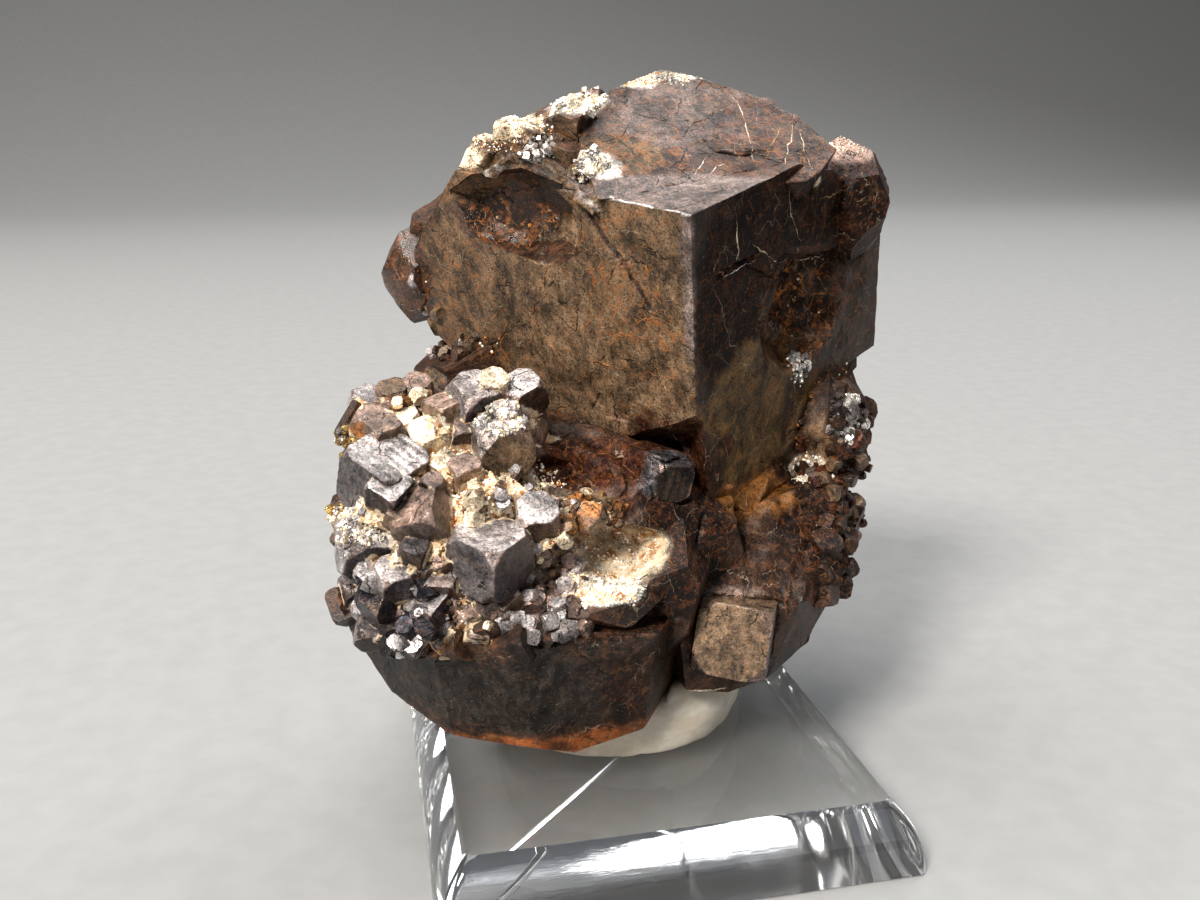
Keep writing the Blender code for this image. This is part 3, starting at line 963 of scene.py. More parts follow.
@dataclass(frozen=True)
class FloorFinish:
    """The plain pale ground under the object."""

    colour: Colour = (0.25, 0.25, 0.248)
    roughness: float = 0.8

    def material(self) -> bpy.types.Material:
        """Returns the ground's material."""
        g = Graph("ground")
        mottled = g.noise(g.place(), 0.35, 2.0, 0.6)
        shaded = g.toned(opaque(self.colour), mottled, 0.253, 0.747, 0.96, 1.04)
        relief = g.bump(mottled, 0.15, 0.05)
        return g.finish({"Base Color": shaded, "Roughness": self.roughness, "Normal": relief})


@dataclass(frozen=True)
class Line:
    """A crack or a vein: the points that it passes, and how wide and deep or high it is."""

    path: tuple[Point, ...]
    width: float
    height: float
    tint: Tint = Tint.CREAM

    SWAY_SIZE = 0.9
    SWAY_SEED = 61
    REACH = (0.35, 1.4)

    def fine(self, step: float = 0.10, sway: float = 0.22) -> Array:
        """The path as a fine row of points that sways a little from the straight.

        Args:
            step: the spacing of the points, in millimetres.
            sway: how far noise pushes them to the side.

        Returns:
            The points, one to a row.
        """
        knots = np.array(self.path)
        along = np.concatenate([[0.0], np.cumsum(np.linalg.norm(np.diff(knots, axis=0), axis=1))])
        places = np.linspace(0.0, along[-1], max(3, int(along[-1] / step)))
        row = np.stack([np.interp(places, along, knots[:, axis]) for axis in range(3)], axis=1)
        push = np.stack([fractal(row, self.SWAY_SIZE, self.SWAY_SEED + axis, 3) for axis in range(3)], axis=1)
        return row + sway * push

    def reach(self, points: Array) -> tuple[Array, Array]:
        """How strongly the line works on the points near it.

        Args:
            points: positions, one to a row.

        Returns:
            The near points' numbers, and for each a share: 1 on the line, 0 beyond 1.4 widths.
        """
        row = self.fine()
        near = (points > row.min(axis=0) - 1.0) & (points < row.max(axis=0) + 1.0)
        rows = np.flatnonzero(np.all(near, axis=1))
        away = np.linalg.norm(points[rows, None] - row[None], axis=2).min(axis=1)
        return rows, 1.0 - eased(away / self.width, *self.REACH)


CRACKS = (
    Line(((-3.2, -1.5, 41.7), (-2.2, -1.9, 40.2), (-1.1, -2.5, 38.8), (-0.1, -2.9, 37.2),
          (0.7, -3.2, 35.8)), 0.18, -0.32),
    Line(((-2.5, 1.7, 29.1), (-3.2, 2.4, 27.7), (-4.0, 2.9, 26.7)), 0.14, -0.2),
    Line(((0.1, -1.9, 32.2), (1.2, -2.3, 29.9), (1.9, -2.9, 28.2)), 0.12, -0.16),
    Line(((5.0, -3.9, 38.0), (5.5, -3.3, 38.2), (6.2, -2.5, 38.4), (6.9, -1.6, 38.7), (7.8, -0.6, 38.9)),
          0.2, -0.3),
    Line(((6.5, -1.9, 38.6), (7.9, -0.4, 38.1), (9.1, 1.2, 37.5), (10.5, 3.6, 37.4)), 0.16, -0.24),
    Line(((4.5, -2.1, 22.2), (4.6, -3.1, 21.4), (4.1, -4.2, 20.4), (4.8, -4.0, 17.8)), 0.22, -0.4),
    Line(((-8.4, 4.9, 37.6), (-7.2, 4.0, 36.2), (-5.6, 2.4, 35.9), (-4.6, 1.5, 34.6)), 0.1, -0.12),
    Line(((4.0, 3.2, 46.9), (5.2, 2.3, 45.6), (6.6, 2.3, 45.4), (7.8, 2.6, 45.6)), 0.12, -0.16),
)

RIDGES = (
    # The ridge over the hollow: its white crest tint is a painted highlight.
    Line(((-10.4, 4.4, 44.1), (-9.4, 3.7, 44.6), (-7.9, 3.1, 45.2), (-6.2, 2.3, 45.1), (-4.8, 0.7, 44.1),
          (-3.8, -1.2, 42.9), (-2.7, -2.0, 42.0)), 0.30, 0.50, Tint.WHITE),
    Line(((-17.8, 10.9, 38.0), (-17.3, 11.2, 36.8), (-17.0, 11.4, 35.4)), 0.34, 0.18, Tint.STEEL),
    # White line along the edge between face A and the ledge: a painted highlight.
    Line(((-2.0, -2.3, 42.9), (0.4, -4.6, 42.6), (2.9, -7.0, 42.1)), 0.12, 0.02, Tint.WHITE),
    Line(((-12.8, 6.0, 43.4), (-12.0, 5.6, 41.0), (-9.8, 4.6, 39.2), (-6.7, 2.6, 38.3)), 0.30, 0.16,
          Tint.UMBER),
    Line(((6.6, 0.4, 22.6), (9.1, 2.6, 22.0), (11.2, 4.2, 22.1), (13.5, 6.8, 22.4)), 0.26, 0.2,
          Tint.ORANGE),
)

VEINS = (
    Line(((6.6, 7.2, 49.4), (7.1, 6.5, 48.7), (7.4, 4.9, 47.4), (7.7, 3.2, 46.0), (7.8, 1.8, 44.8)), 0.11,
          0.05, Tint.CREAM),
    Line(((8.4, 7.4, 49.3), (8.4, 6.3, 48.3), (8.1, 4.9, 47.3), (8.0, 3.8, 46.3)), 0.09, 0.05,
          Tint.PINK_GREY),
    Line(((11.0, 6.9, 48.2), (10.8, 5.7, 47.3), (10.4, 3.9, 46.0), (9.8, 2.0, 44.7)), 0.11, 0.05,
          Tint.CREAM),
    Line(((11.2, 5.3, 47.0), (11.3, 4.2, 46.0), (11.5, 3.0, 45.0), (11.7, 2.3, 44.4)), 0.10, 0.05,
          Tint.CREAM),
    Line(((1.4, 1.4, 45.6), (2.8, 2.1, 46.0), (4.2, 2.9, 46.3), (6.0, 4.0, 46.9)), 0.12, 0.04, Tint.RUST),
    Line(((4.3, 4.7, 47.8), (5.6, 3.2, 46.3), (7.1, 1.6, 44.7)), 0.07, 0.04, Tint.PINK_GREY),
    Line(((0.2, 3.6, 47.6), (1.1, 2.2, 46.4), (1.7, 0.5, 44.8)), 0.08, 0.04, Tint.GOLD),
    Line(((4.5, 1.8, 45.4), (3.9, 0.7, 44.6), (3.3, -0.3, 43.9)), 0.10, 0.05, Tint.WHITE),
    Line(((5.9, 1.5, 44.9), (5.1, 1.0, 44.6), (4.4, 0.2, 44.0)), 0.08, 0.05, Tint.WHITE),
    Line(((8.1, 1.6, 44.6), (9.4, 4.1, 46.3), (10.2, 6.0, 47.7)), 0.07, 0.04, Tint.GOLD),
    Line(((6.0, -3.4, 42.4), (6.2, -3.0, 41.4), (6.3, -2.6, 40.2), (6.3, -2.4, 38.8)), 0.13, 0.06,
          Tint.CREAM),
    Line(((10.2, 1.4, 43.1), (10.3, 1.8, 42.1), (10.7, 2.6, 40.7), (11.2, 4.2, 39.2), (11.7, 6.2, 38.3)),
          0.10, 0.05, Tint.CREAM),
    Line(((7.1, -1.7, 40.3), (7.6, -0.9, 39.6), (8.5, 0.2, 39.2), (9.2, 1.6, 38.4), (10.0, 4.0, 37.8)),
          0.10, 0.05, Tint.CREAM),
    Line(((5.3, -3.5, 37.9), (6.1, -2.6, 38.1), (6.8, -1.7, 38.4), (7.7, -0.7, 38.6)), 0.08, 0.05,
          Tint.WHITE),
    Line(((11.6, 6.6, 37.8), (12.7, 7.4, 38.0), (13.7, 8.2, 38.1)), 0.12, 0.06, Tint.CREAM),
    Line(((12.8, 4.9, 42.3), (14.3, 6.6, 42.5), (15.4, 7.1, 43.0)), 0.09, 0.05, Tint.GOLD),
    Line(((15.8, 8.0, 38.5), (16.6, 7.9, 39.2), (17.4, 7.6, 40.3), (17.8, 7.7, 41.1)), 0.11, 0.05,
          Tint.GOLD),
    Line(((3.7, -5.7, 37.8), (4.7, -4.6, 38.1), (5.7, -3.3, 38.2)), 0.10, 0.05, Tint.RUST),
    Line(((4.6, -4.2, 37.3), (5.4, -3.1, 36.1), (5.6, -2.6, 34.7), (6.1, -1.7, 33.3), (7.9, 0.6, 32.3)),
          0.10, 0.05, Tint.PINK_GREY),
    Line(((5.0, -3.2, 33.0), (6.0, -1.8, 32.0), (7.2, -0.4, 31.8), (8.6, 1.4, 31.0)), 0.08, 0.05,
          Tint.CREAM),
    Line(((-3.5, -0.8, 40.1), (-3.9, -0.1, 38.8), (-4.2, 0.6, 37.6), (-4.6, 1.5, 35.8)), 0.10, 0.04,
          Tint.PINK_GREY),
    Line(((-5.7, 3.2, 32.3), (-4.3, 2.1, 31.8), (-2.5, 0.6, 31.3), (0.2, -1.7, 31.3), (2.7, -3.9, 31.3)),
          0.10, 0.05, Tint.ORANGE),
    Line(((-0.6, -3.6, 41.3), (0.3, -4.0, 39.7), (0.8, -3.9, 38.2), (1.3, -3.9, 36.6)), 0.08, 0.04,
          Tint.GOLD),
    Line(((-2.5, -0.4, 36.1), (-0.9, -1.7, 35.6), (0.7, -2.9, 34.8), (2.9, -4.7, 34.5)), 0.09, 0.05,
          Tint.ORANGE),
    Line(((-8.2, 4.8, 35.3), (-6.8, 4.2, 33.2), (-5.4, 3.4, 31.2), (-3.2, 2.2, 28.9)), 0.10, 0.05,
          Tint.ORANGE),
    Line(((-7.0, 3.4, 37.2), (-6.4, 3.2, 35.6), (-5.6, 2.6, 34.0)), 0.08, 0.04, Tint.RUST),
    Line(((0.6, -3.3, 33.6), (0.9, -3.2, 31.0), (1.7, -3.4, 29.2)), 0.08, 0.04, Tint.GOLD),
    Line(((6.4, -1.6, 29.0), (7.8, 0.4, 28.2), (8.6, 1.8, 26.4), (9.2, 3.0, 24.2)), 0.09, 0.05, Tint.GOLD),
    Line(((5.0, -3.0, 27.6), (6.4, -1.2, 26.4), (7.0, 0.0, 24.6)), 0.08, 0.04, Tint.GOLD),
    Line(((3.6, -4.3, 9.2), (4.9, -4.1, 9.1), (6.4, -3.7, 9.0)), 0.22, 0.10, Tint.CREAM),
)

FACE_A: Point = (-0.64, -0.74, -0.2)
FACE_B: Point = (0.77, -0.62, -0.1)
LEDGE: Point = (0.0, -0.2, 1.0)
# Up and towards the key lamp; faces of the large crystals that look this way take their painted lit tint.
UPWARDS: Point = (-0.40, -0.35, 0.85)
CROWN_FACE: Point = (0.1, -0.6, 0.8)


@dataclass(frozen=True)
class Crystal:
    """A crystal of the cluster: a cube with cut corners, where it stands, and its looks.

    Faces that look up towards the key lamp get the first tint, painted light; the rest the second, painted
    shade.
    """

    centre: Point
    half: float
    stands: Point
    cut: float
    # top is painted light, the tint of faces that look up towards the key lamp; side is painted shade, the
    # tint of the rest.
    top: Tint
    side: Tint
    metal: float = 0.5
    lines: float = 0.012
    powder: float = 0.8

    def local(self, points: Array) -> Array:
        """Returns points of the stone's frame in the crystal's own, as shares of half its edge."""
        return (points - np.array(self.centre)) @ stand(*self.stands) / self.half

    def holds(self, points: Array, room: float) -> Array:
        """Which points lie inside the crystal, or no farther from it than some room.

        Args:
            points: positions in the stone's frame.
            room: the room, in millimetres.

        Returns:
            Whether each point does.
        """
        away = np.abs(self.local(points))
        reach = 1.0 + room / self.half
        return (away.max(axis=1) < reach) & (away.sum(axis=1) < (2.0 + self.cut) * reach)


# Each crystal's first tint is painted light for its faces towards the key lamp, and its second is painted
# shade.
CRYSTALS = (
    Crystal((-9.4, -10.0, 21.4), 1.98, (-34.0, 14.0, 4.0), 0.50, Tint.STEEL, Tint.BLUE_BLACK, 0.5, 0.004),
    Crystal((6.9, -3.6, 13.2), 2.54, (-14.0, -10.0, 8.0), 0.52, Tint.UMBER, Tint.DARK_BROWN, 0.0, 0.012, 0.1),
    Crystal((-9.0, -4.6, 27.0), 1.84, (20.0, 10.0, 0.0), 0.22, Tint.STEEL, Tint.UMBER, 0.4),
    Crystal((-10.8, -2.2, 29.4), 1.64, (35.0, 20.0, 10.0), 0.34, Tint.STEEL, Tint.BLUE_BLACK),
    Crystal((-7.7, -1.6, 29.8), 1.26, (30.0, 30.0, -10.0), 0.52, Tint.STEEL, Tint.DARK_BROWN),
    Crystal((-17.3, -7.6, 21.4), 1.94, (25.0, 25.0, 20.0), 0.34, Tint.STEEL, Tint.BLUE_BLACK),
    Crystal((-13.5, -8.8, 23.6), 1.64, (-20.0, 30.0, -30.0), 0.52, Tint.PINK_GREY, Tint.LILAC, 0.3, 0.02),
    Crystal((-6.6, -8.2, 23.2), 1.34, (15.0, 30.0, 10.0), 0.40, Tint.STEEL, Tint.DARK_BROWN, 0.4),
    Crystal((-16.4, -6.2, 25.4), 2.14, (-30.0, 24.0, 14.0), 0.70, Tint.STEEL, Tint.GUNMETAL, 0.5, 0.030),
    Crystal((-15.7, -8.5, 25.1), 1.15, (-25.0, 35.0, 10.0), 0.75, Tint.STEEL, Tint.BLUE_BLACK, 0.5, 0.03),
    Crystal((2.0, -2.5, 24.4), 1.35, (24.0, 6.0, 12.0), 0.60, Tint.GUNMETAL, Tint.SATIN_GREY, 0.6, 0.05, 0.0),
    Crystal((-15.4, -10.1, 20.0), 1.15, (32.0, 26.0, 10.0), 0.45, Tint.STEEL, Tint.BLUE_BLACK),
    Crystal((-12.1, -10.1, 19.8), 0.90, (-18.0, 36.0, -12.0), 0.85, Tint.LILAC, Tint.DARK_BROWN, 0.3),
    Crystal((-16.3, -10.0, 18.3), 1.15, (40.0, 20.0, -15.0), 0.20, Tint.BLUE_BLACK, Tint.BLUE_BLACK, 0.7),
    Crystal((-14.8, -9.4, 17.7), 1.05, (10.0, 35.0, 20.0), 0.15, Tint.BLUE_BLACK, Tint.BLUE_BLACK, 0.7),
    Crystal((-15.5, -10.0, 16.7), 0.85, (-30.0, 20.0, 5.0), 0.30, Tint.GUNMETAL, Tint.BLUE_BLACK, 0.7),
    Crystal((-12.9, -10.0, 17.8), 1.30, (-42.0, 22.0, -22.0), 0.80, Tint.STEEL, Tint.BLUE_BLACK, 0.6, 0.035),
    Crystal((-10.8, -10.0, 17.7), 1.15, (28.0, 30.0, 14.0), 0.40, Tint.PINK_GREY, Tint.DARK_BROWN, 0.3, 0.03),
    Crystal((-8.3, -9.9, 18.3), 0.80, (34.0, 30.0, -20.0), 0.90, Tint.PINK_GREY, Tint.UMBER, 0.2),
    Crystal((-7.1, -9.1, 17.1), 0.85, (-30.0, 25.0, 10.0), 0.60, Tint.LILAC, Tint.DARK_BROWN, 0.3),
    Crystal((-8.0, -9.9, 16.4), 0.80, (20.0, 30.0, 30.0), 0.50, Tint.PINK_GREY, Tint.DARK_BROWN, 0.3),
    Crystal((-11.8, -10.2, 21.1), 0.62, (12.0, 20.0, 12.0), 0.40, Tint.UMBER, Tint.DARK_BROWN, 0.3),
    Crystal((-14.0, -10.1, 21.8), 0.85, (-20.0, 30.0, 8.0), 0.35, Tint.GUNMETAL, Tint.DARK_BROWN),
    Crystal((-13.4, -10.0, 20.5), 0.58, (44.0, 24.0, 0.0), 0.60, Tint.GUNMETAL, Tint.UMBER, 0.4),
    Crystal((-15.1, -9.4, 23.8), 0.70, (-10.0, 30.0, 25.0), 0.80, Tint.PINK_GREY, Tint.UMBER, 0.2),
    Crystal((-14.4, -8.0, 25.3), 0.62, (25.0, 20.0, 0.0), 0.30, Tint.UMBER, Tint.DARK_BROWN, 0.3),
    Crystal((-13.0, -8.5, 25.6), 0.66, (-35.0, 30.0, 10.0), 0.30, Tint.PINK_GREY, Tint.DARK_BROWN, 0.3),
    Crystal((-12.6, -2.8, 28.7), 1.25, (40.0, 12.0, -6.0), 0.85, Tint.PINK_GREY, Tint.UMBER, 0.1, 0.03),
    Crystal((-11.1, -7.0, 25.9), 0.95, (30.0, 20.0, 0.0), 0.60, Tint.PINK_GREY, Tint.UMBER, 0.1),
    Crystal((-11.3, -3.6, 27.6), 1.10, (14.0, 24.0, 16.0), 0.45, Tint.LILAC, Tint.DARK_BROWN, 0.2),
    Crystal((-9.7, -2.2, 30.5), 1.00, (10.0, 30.0, 20.0), 0.30, Tint.CREAM, Tint.PINK_GREY, 0.1),
    Crystal((-8.8, -3.8, 28.7), 1.00, (40.0, 26.0, 4.0), 0.25, Tint.STEEL, Tint.GUNMETAL),
    Crystal((-5.0, -5.5, 23.5), 0.78, (20.0, 20.0, 0.0), 0.0, Tint.UMBER, Tint.DARK_BROWN, 0.3),
    Crystal((-3.2, -6.8, 22.9), 0.88, (40.0, 30.0, 10.0), 0.0, Tint.ORANGE, Tint.UMBER, 0.0),
    Crystal((-18.9, 1.4, 28.2), 1.25, (20.0, 20.0, 20.0), 0.20, Tint.STEEL, Tint.BLUE_BLACK),
    Crystal((-17.1, 1.8, 28.8), 1.10, (-20.0, 24.0, 0.0), 0.15, Tint.UMBER, Tint.DARK_BROWN, 0.3),
    Crystal((-15.5, 2.4, 29.2), 1.00, (30.0, 24.0, 10.0), 0.30, Tint.PINK_GREY, Tint.UMBER, 0.1),
    Crystal((-16.5, -4.8, 27.9), 1.00, (35.0, 20.0, 0.0), 0.60, Tint.PINK_GREY, Tint.UMBER, 0.1),
    Crystal((-18.0, -1.0, 27.4), 1.25, (-15.0, 25.0, 15.0), 0.40, Tint.PINK_GREY, Tint.ORANGE, 0.1),
    Crystal((-16.0, -0.4, 27.3), 1.20, (20.0, 30.0, -10.0), 0.35, Tint.CREAM, Tint.ORANGE, 0.0),
    Crystal((-13.9, -3.8, 27.2), 1.20, (30.0, 30.0, 0.0), 0.50, Tint.CREAM, Tint.CREAM, 0.0),
    Crystal((-12.6, -5.9, 25.8), 0.95, (-25.0, 35.0, 20.0), 0.60, Tint.CREAM, Tint.PINK_GREY, 0.0),
    Crystal((-18.8, -5.7, 17.4), 1.05, (30.0, 24.0, 10.0), 0.35, Tint.GUNMETAL, Tint.BLUE_BLACK, 0.6),
    Crystal((-17.3, -9.2, 15.9), 0.95, (15.0, 30.0, 24.0), 0.30, Tint.GUNMETAL, Tint.SATIN_GREY, 0.4),
    Crystal((-14.1, -11.2, 16.5), 0.80, (-28.0, 26.0, 0.0), 0.50, Tint.LILAC, Tint.SATIN_GREY, 0.4),
    Crystal((-12.3, -11.3, 16.4), 0.90, (38.0, 24.0, -14.0), 0.40, Tint.GUNMETAL, Tint.DARK_BROWN, 0.4),
    Crystal((-10.3, -11.0, 16.7), 0.80, (12.0, 34.0, 20.0), 0.45, Tint.PINK_GREY, Tint.SATIN_GREY, 0.3),
)

HARD_ZONES = (
    Zone((-8.0, -4.0, 11.6), (17.0, 12.0, 7.2), ragged=0.0),
    Zone((9.0, 2.0, 14.0), (10.0, 10.0, 8.0), ragged=0.0),
    Zone((-7.0, 6.0, 46.5), (8.0, 9.0, 5.0), ragged=0.0),
)

ZONES = (
    Zone((4.0, 12.0, 32.0), (18.0, 14.0, 20.0), Tint.DARK_BROWN, 0.4, rust=0.45),
    Zone((0.0, 4.0, 13.0), (22.0, 22.0, 9.0), Tint.DARK_BROWN, 0.45, rust=0.3),
    Zone((-7.0, 21.0, 35.0), (7.0, 6.0, 6.0), Tint.UMBER, 0.35, rust=0.6, ragged=0.6),
    Zone((9.0, 23.0, 24.0), (7.0, 6.0, 6.0), Tint.GOLD_BROWN, 0.3, rust=0.9, ragged=0.8),
    Zone((-3.0, 20.0, 17.0), (8.0, 7.0, 4.0), Tint.UMBER, 0.3, crust=0.4, rust=0.7, ragged=0.6),
    Zone((6.0, 20.0, 40.0), (6.0, 6.0, 4.0), Tint.PURPLE, 0.5, rust=0.3, ragged=0.6),
    Zone((-6.0, 2.0, 36.0), (17.0, 15.0, 13.0), Tint.UMBER, 0.35, rust=0.32, facing=FACE_A),
    Zone((-1.0, -1.8, 37.0), (4.2, 4.6, 4.6), rust=1.0, facing=FACE_A, ragged=0.7),
    Zone((-13.0, 8.0, 33.0), (5.0, 6.0, 7.0), rust=0.75, facing=FACE_A, ragged=0.7),
    Zone((-0.2, 0.0, -5.0), (0.6, 0.6, 7.0), Tint.LILAC, 0.5, rust=0.15, within=MAIN, ragged=0.6),
    # Face B near black: partly its own dark tone, partly painted shade, as it faces away from the key lamp.
    Zone((9.0, 1.0, 37.0), (10.0, 12.0, 9.0), Tint.NEAR_BLACK, 0.10, rust=0.25, facing=FACE_B),
    Zone((12.6, 6.4, 34.0), (6.4, 7.4, 4.4), Tint.DARK_BROWN, 0.25, rust=1.0, ragged=0.7),
    Zone((8.5, 1.6, 27.0), (7.0, 9.0, 5.8), Tint.OLIVE, 0.28, rust=0.45, facing=FACE_B, ragged=0.6),
    Zone((12.9, 7.2, 24.2), (2.4, 3.0, 3.0), Tint.UMBER, 0.5, rust=0.6),
    Zone((9.0, 2.4, 21.4), (6.4, 6.6, 1.5), Tint.GOLD_BROWN, 0.4, rust=0.9, ragged=0.4),
    Zone((13.6, 7.0, 22.0), (2.0, 2.2, 1.3), Tint.CREAM, 0.2, crust=0.75, rust=0.2),
    Zone((5.7, 4.5, 47.0), (13.0, 9.0, 6.0), Tint.PURPLE, 0.35, rust=0.5, facing=CROWN_FACE),
    Zone((2.4, 4.0, 48.0), (5.0, 5.0, 3.0), Tint.LILAC, 0.35, rust=0.4, facing=CROWN_FACE, ragged=0.7),
    Zone((-0.5, 0.6, 45.4), (2.8, 2.4, 1.8), Tint.UMBER, 0.3, rust=1.0, ragged=0.6),
    # Pale lilac on the ledge that looks up: partly its own tone, partly a painted highlight from the lamps
    # above.
    Zone((3.0, -2.0, 43.2), (10.0, 8.0, 1.2), Tint.LILAC, 0.55, rust=0.15, facing=LEDGE, ragged=0.1),
    Zone((-8.6, 6.4, 41.4), (5.0, 4.2, 3.4), Tint.DARK_BROWN, 0.85, rust=1.0, ragged=0.3),
    Zone((-5.8, 3.4, 43.2), (3.4, 2.6, 1.8), Tint.DARK_BROWN, 0.9, rust=0.3),
    Zone((-12.0, 5.8, 44.3), (3.0, 3.6, 2.4), Tint.UMBER, 0.35, rust=0.6),
    Zone((-9.6, 5.8, 47.2), (4.2, 3.2, 1.0), Tint.CREAM, 0.2, crust=0.62),
    Zone((-12.6, 4.8, 45.2), (2.4, 2.4, 0.9), Tint.CREAM, 0.2, crust=0.6),
    Zone((-4.4, 3.8, 49.0), (2.8, 3.2, 1.3), Tint.WHITE, 0.4, crust=0.62),
    Zone((-1.2, 6.8, 50.4), (3.2, 3.0, 0.7), Tint.WHITE, 0.3, crust=0.8),
    Zone((2.3, 9.0, 51.0), (2.6, 2.6, 0.8), Tint.WHITE, 0.2, crust=0.85),
    Zone((-2.4, -0.8, 44.9), (1.3, 1.4, 1.2), Tint.WHITE, 0.5, crust=0.45),
    Zone((16.0, 7.6, 41.0), (3.6, 4.4, 5.4), Tint.NEAR_BLACK, 0.15, rust=0.3),
    Zone((15.4, 9.0, 46.0), (2.2, 3.0, 1.6), Tint.PINK_GREY, 0.3, crust=0.5),
    Zone((12.5, 4.2, 43.6), (0.5, 0.5, 0.5), Tint.WHITE, 0.3, crust=0.7, ragged=0.6),
    Zone((-17.6, 12.6, 36.4), (3.2, 3.2, 4.2), Tint.DARK_BROWN, 0.8, rust=0.5),
    Zone((14.2, 6.0, 17.0), (6.0, 7.0, 8.0), Tint.NEAR_BLACK, 0.35, rust=0.5, ragged=0.5),
    Zone((16.0, 8.4, 25.8), (2.2, 3.0, 2.4), Tint.LILAC, 0.7, metal=0.4, rust=0.1, ragged=0.5),
    Zone((0.0, -3.6, 24.8), (8.4, 5.6, 3.8), Tint.DEEP_RED, 0.2, rust=0.35, ragged=0.4),
    Zone((2.0, -3.6, 25.0), (2.4, 2.0, 1.9), Tint.GUNMETAL, 0.8, metal=0.8, rust=0.1),
    Zone((-3.9, -6.6, 22.8), (3.0, 2.6, 1.5), Tint.GOLD_BROWN, 0.3, crust=0.5, rust=0.9),
    Zone((3.8, -4.8, 18.8), (5.0, 4.4, 5.2), Tint.NEAR_BLACK, 0.35, rust=0.4, ragged=0.4),
    Zone((-8.0, -10.0, 13.0), (15.0, 12.0, 4.6), Tint.SATIN_GREY, 0.42, rust=0.08, ragged=0.15),
    Zone((-5.0, -9.0, 7.6), (12.0, 9.0, 1.3), Tint.RUST, 0.4, rust=0.8, ragged=0.4),
    Zone((0.4, -8.4, 13.0), (4.0, 3.6, 5.0), Tint.NEAR_BLACK, 0.4, rust=0.3),
    Zone((6.8, -5.0, 13.8), (4.6, 3.6, 3.4), Tint.DARK_BROWN, 0.45, rust=0.4),
    Zone((6.7, -5.8, 14.6), (3.4, 1.8, 1.4), Tint.UMBER, 0.4, rust=0.6),
    Zone((7.0, -3.8, 16.0), (3.6, 2.0, 0.6), Tint.PINK_GREY, 0.4, rust=0.3),
    Zone((-11.4, -5.0, 23.4), (10.4, 10.0, 7.0), Tint.PINK_GREY, 0.4, metal=0.1, crust=0.74, rust=0.5),
    Zone((-12.5, -8.0, 16.2), (9.0, 6.0, 1.6), Tint.DARK_BROWN, 0.5, crust=0.2, rust=0.5, ragged=0.5),
    Zone((-3.6, -2.8, 25.8), (4.6, 4.2, 2.2), Tint.DEEP_RED, 0.2, crust=0.0, rust=0.4, ragged=0.4),
    Zone((-16.6, -9.6, 18.0), (3.4, 3.4, 2.2), Tint.BLUE_BLACK, 0.7, metal=0.5, crust=0.15, rust=0.2),
    Zone((-16.0, 0.6, 28.6), (3.6, 4.0, 2.0), Tint.GOLD_BROWN, 0.3, crust=0.4, rust=0.9),
    Zone((-12.6, -5.8, 25.8), (4.0, 3.4, 2.4), Tint.CREAM, 0.3, crust=0.85, rust=0.6),
    Zone((-1.9, -5.0, 20.0), (4.3, 4.7, 2.1), Tint.CREAM, 0.2, crust=0.9, rust=0.1, ragged=0.12),
    Zone((-2.6, -8.6, 18.7), (3.6, 2.2, 0.8), Tint.WHITE, 0.2, crust=1.0, rust=0.0),
    Zone((-2.5, -10.0, 15.8), (3.6, 2.2, 1.6), Tint.DARK_BROWN, 0.8, metal=0.3, rust=0.3, ragged=0.4),
)


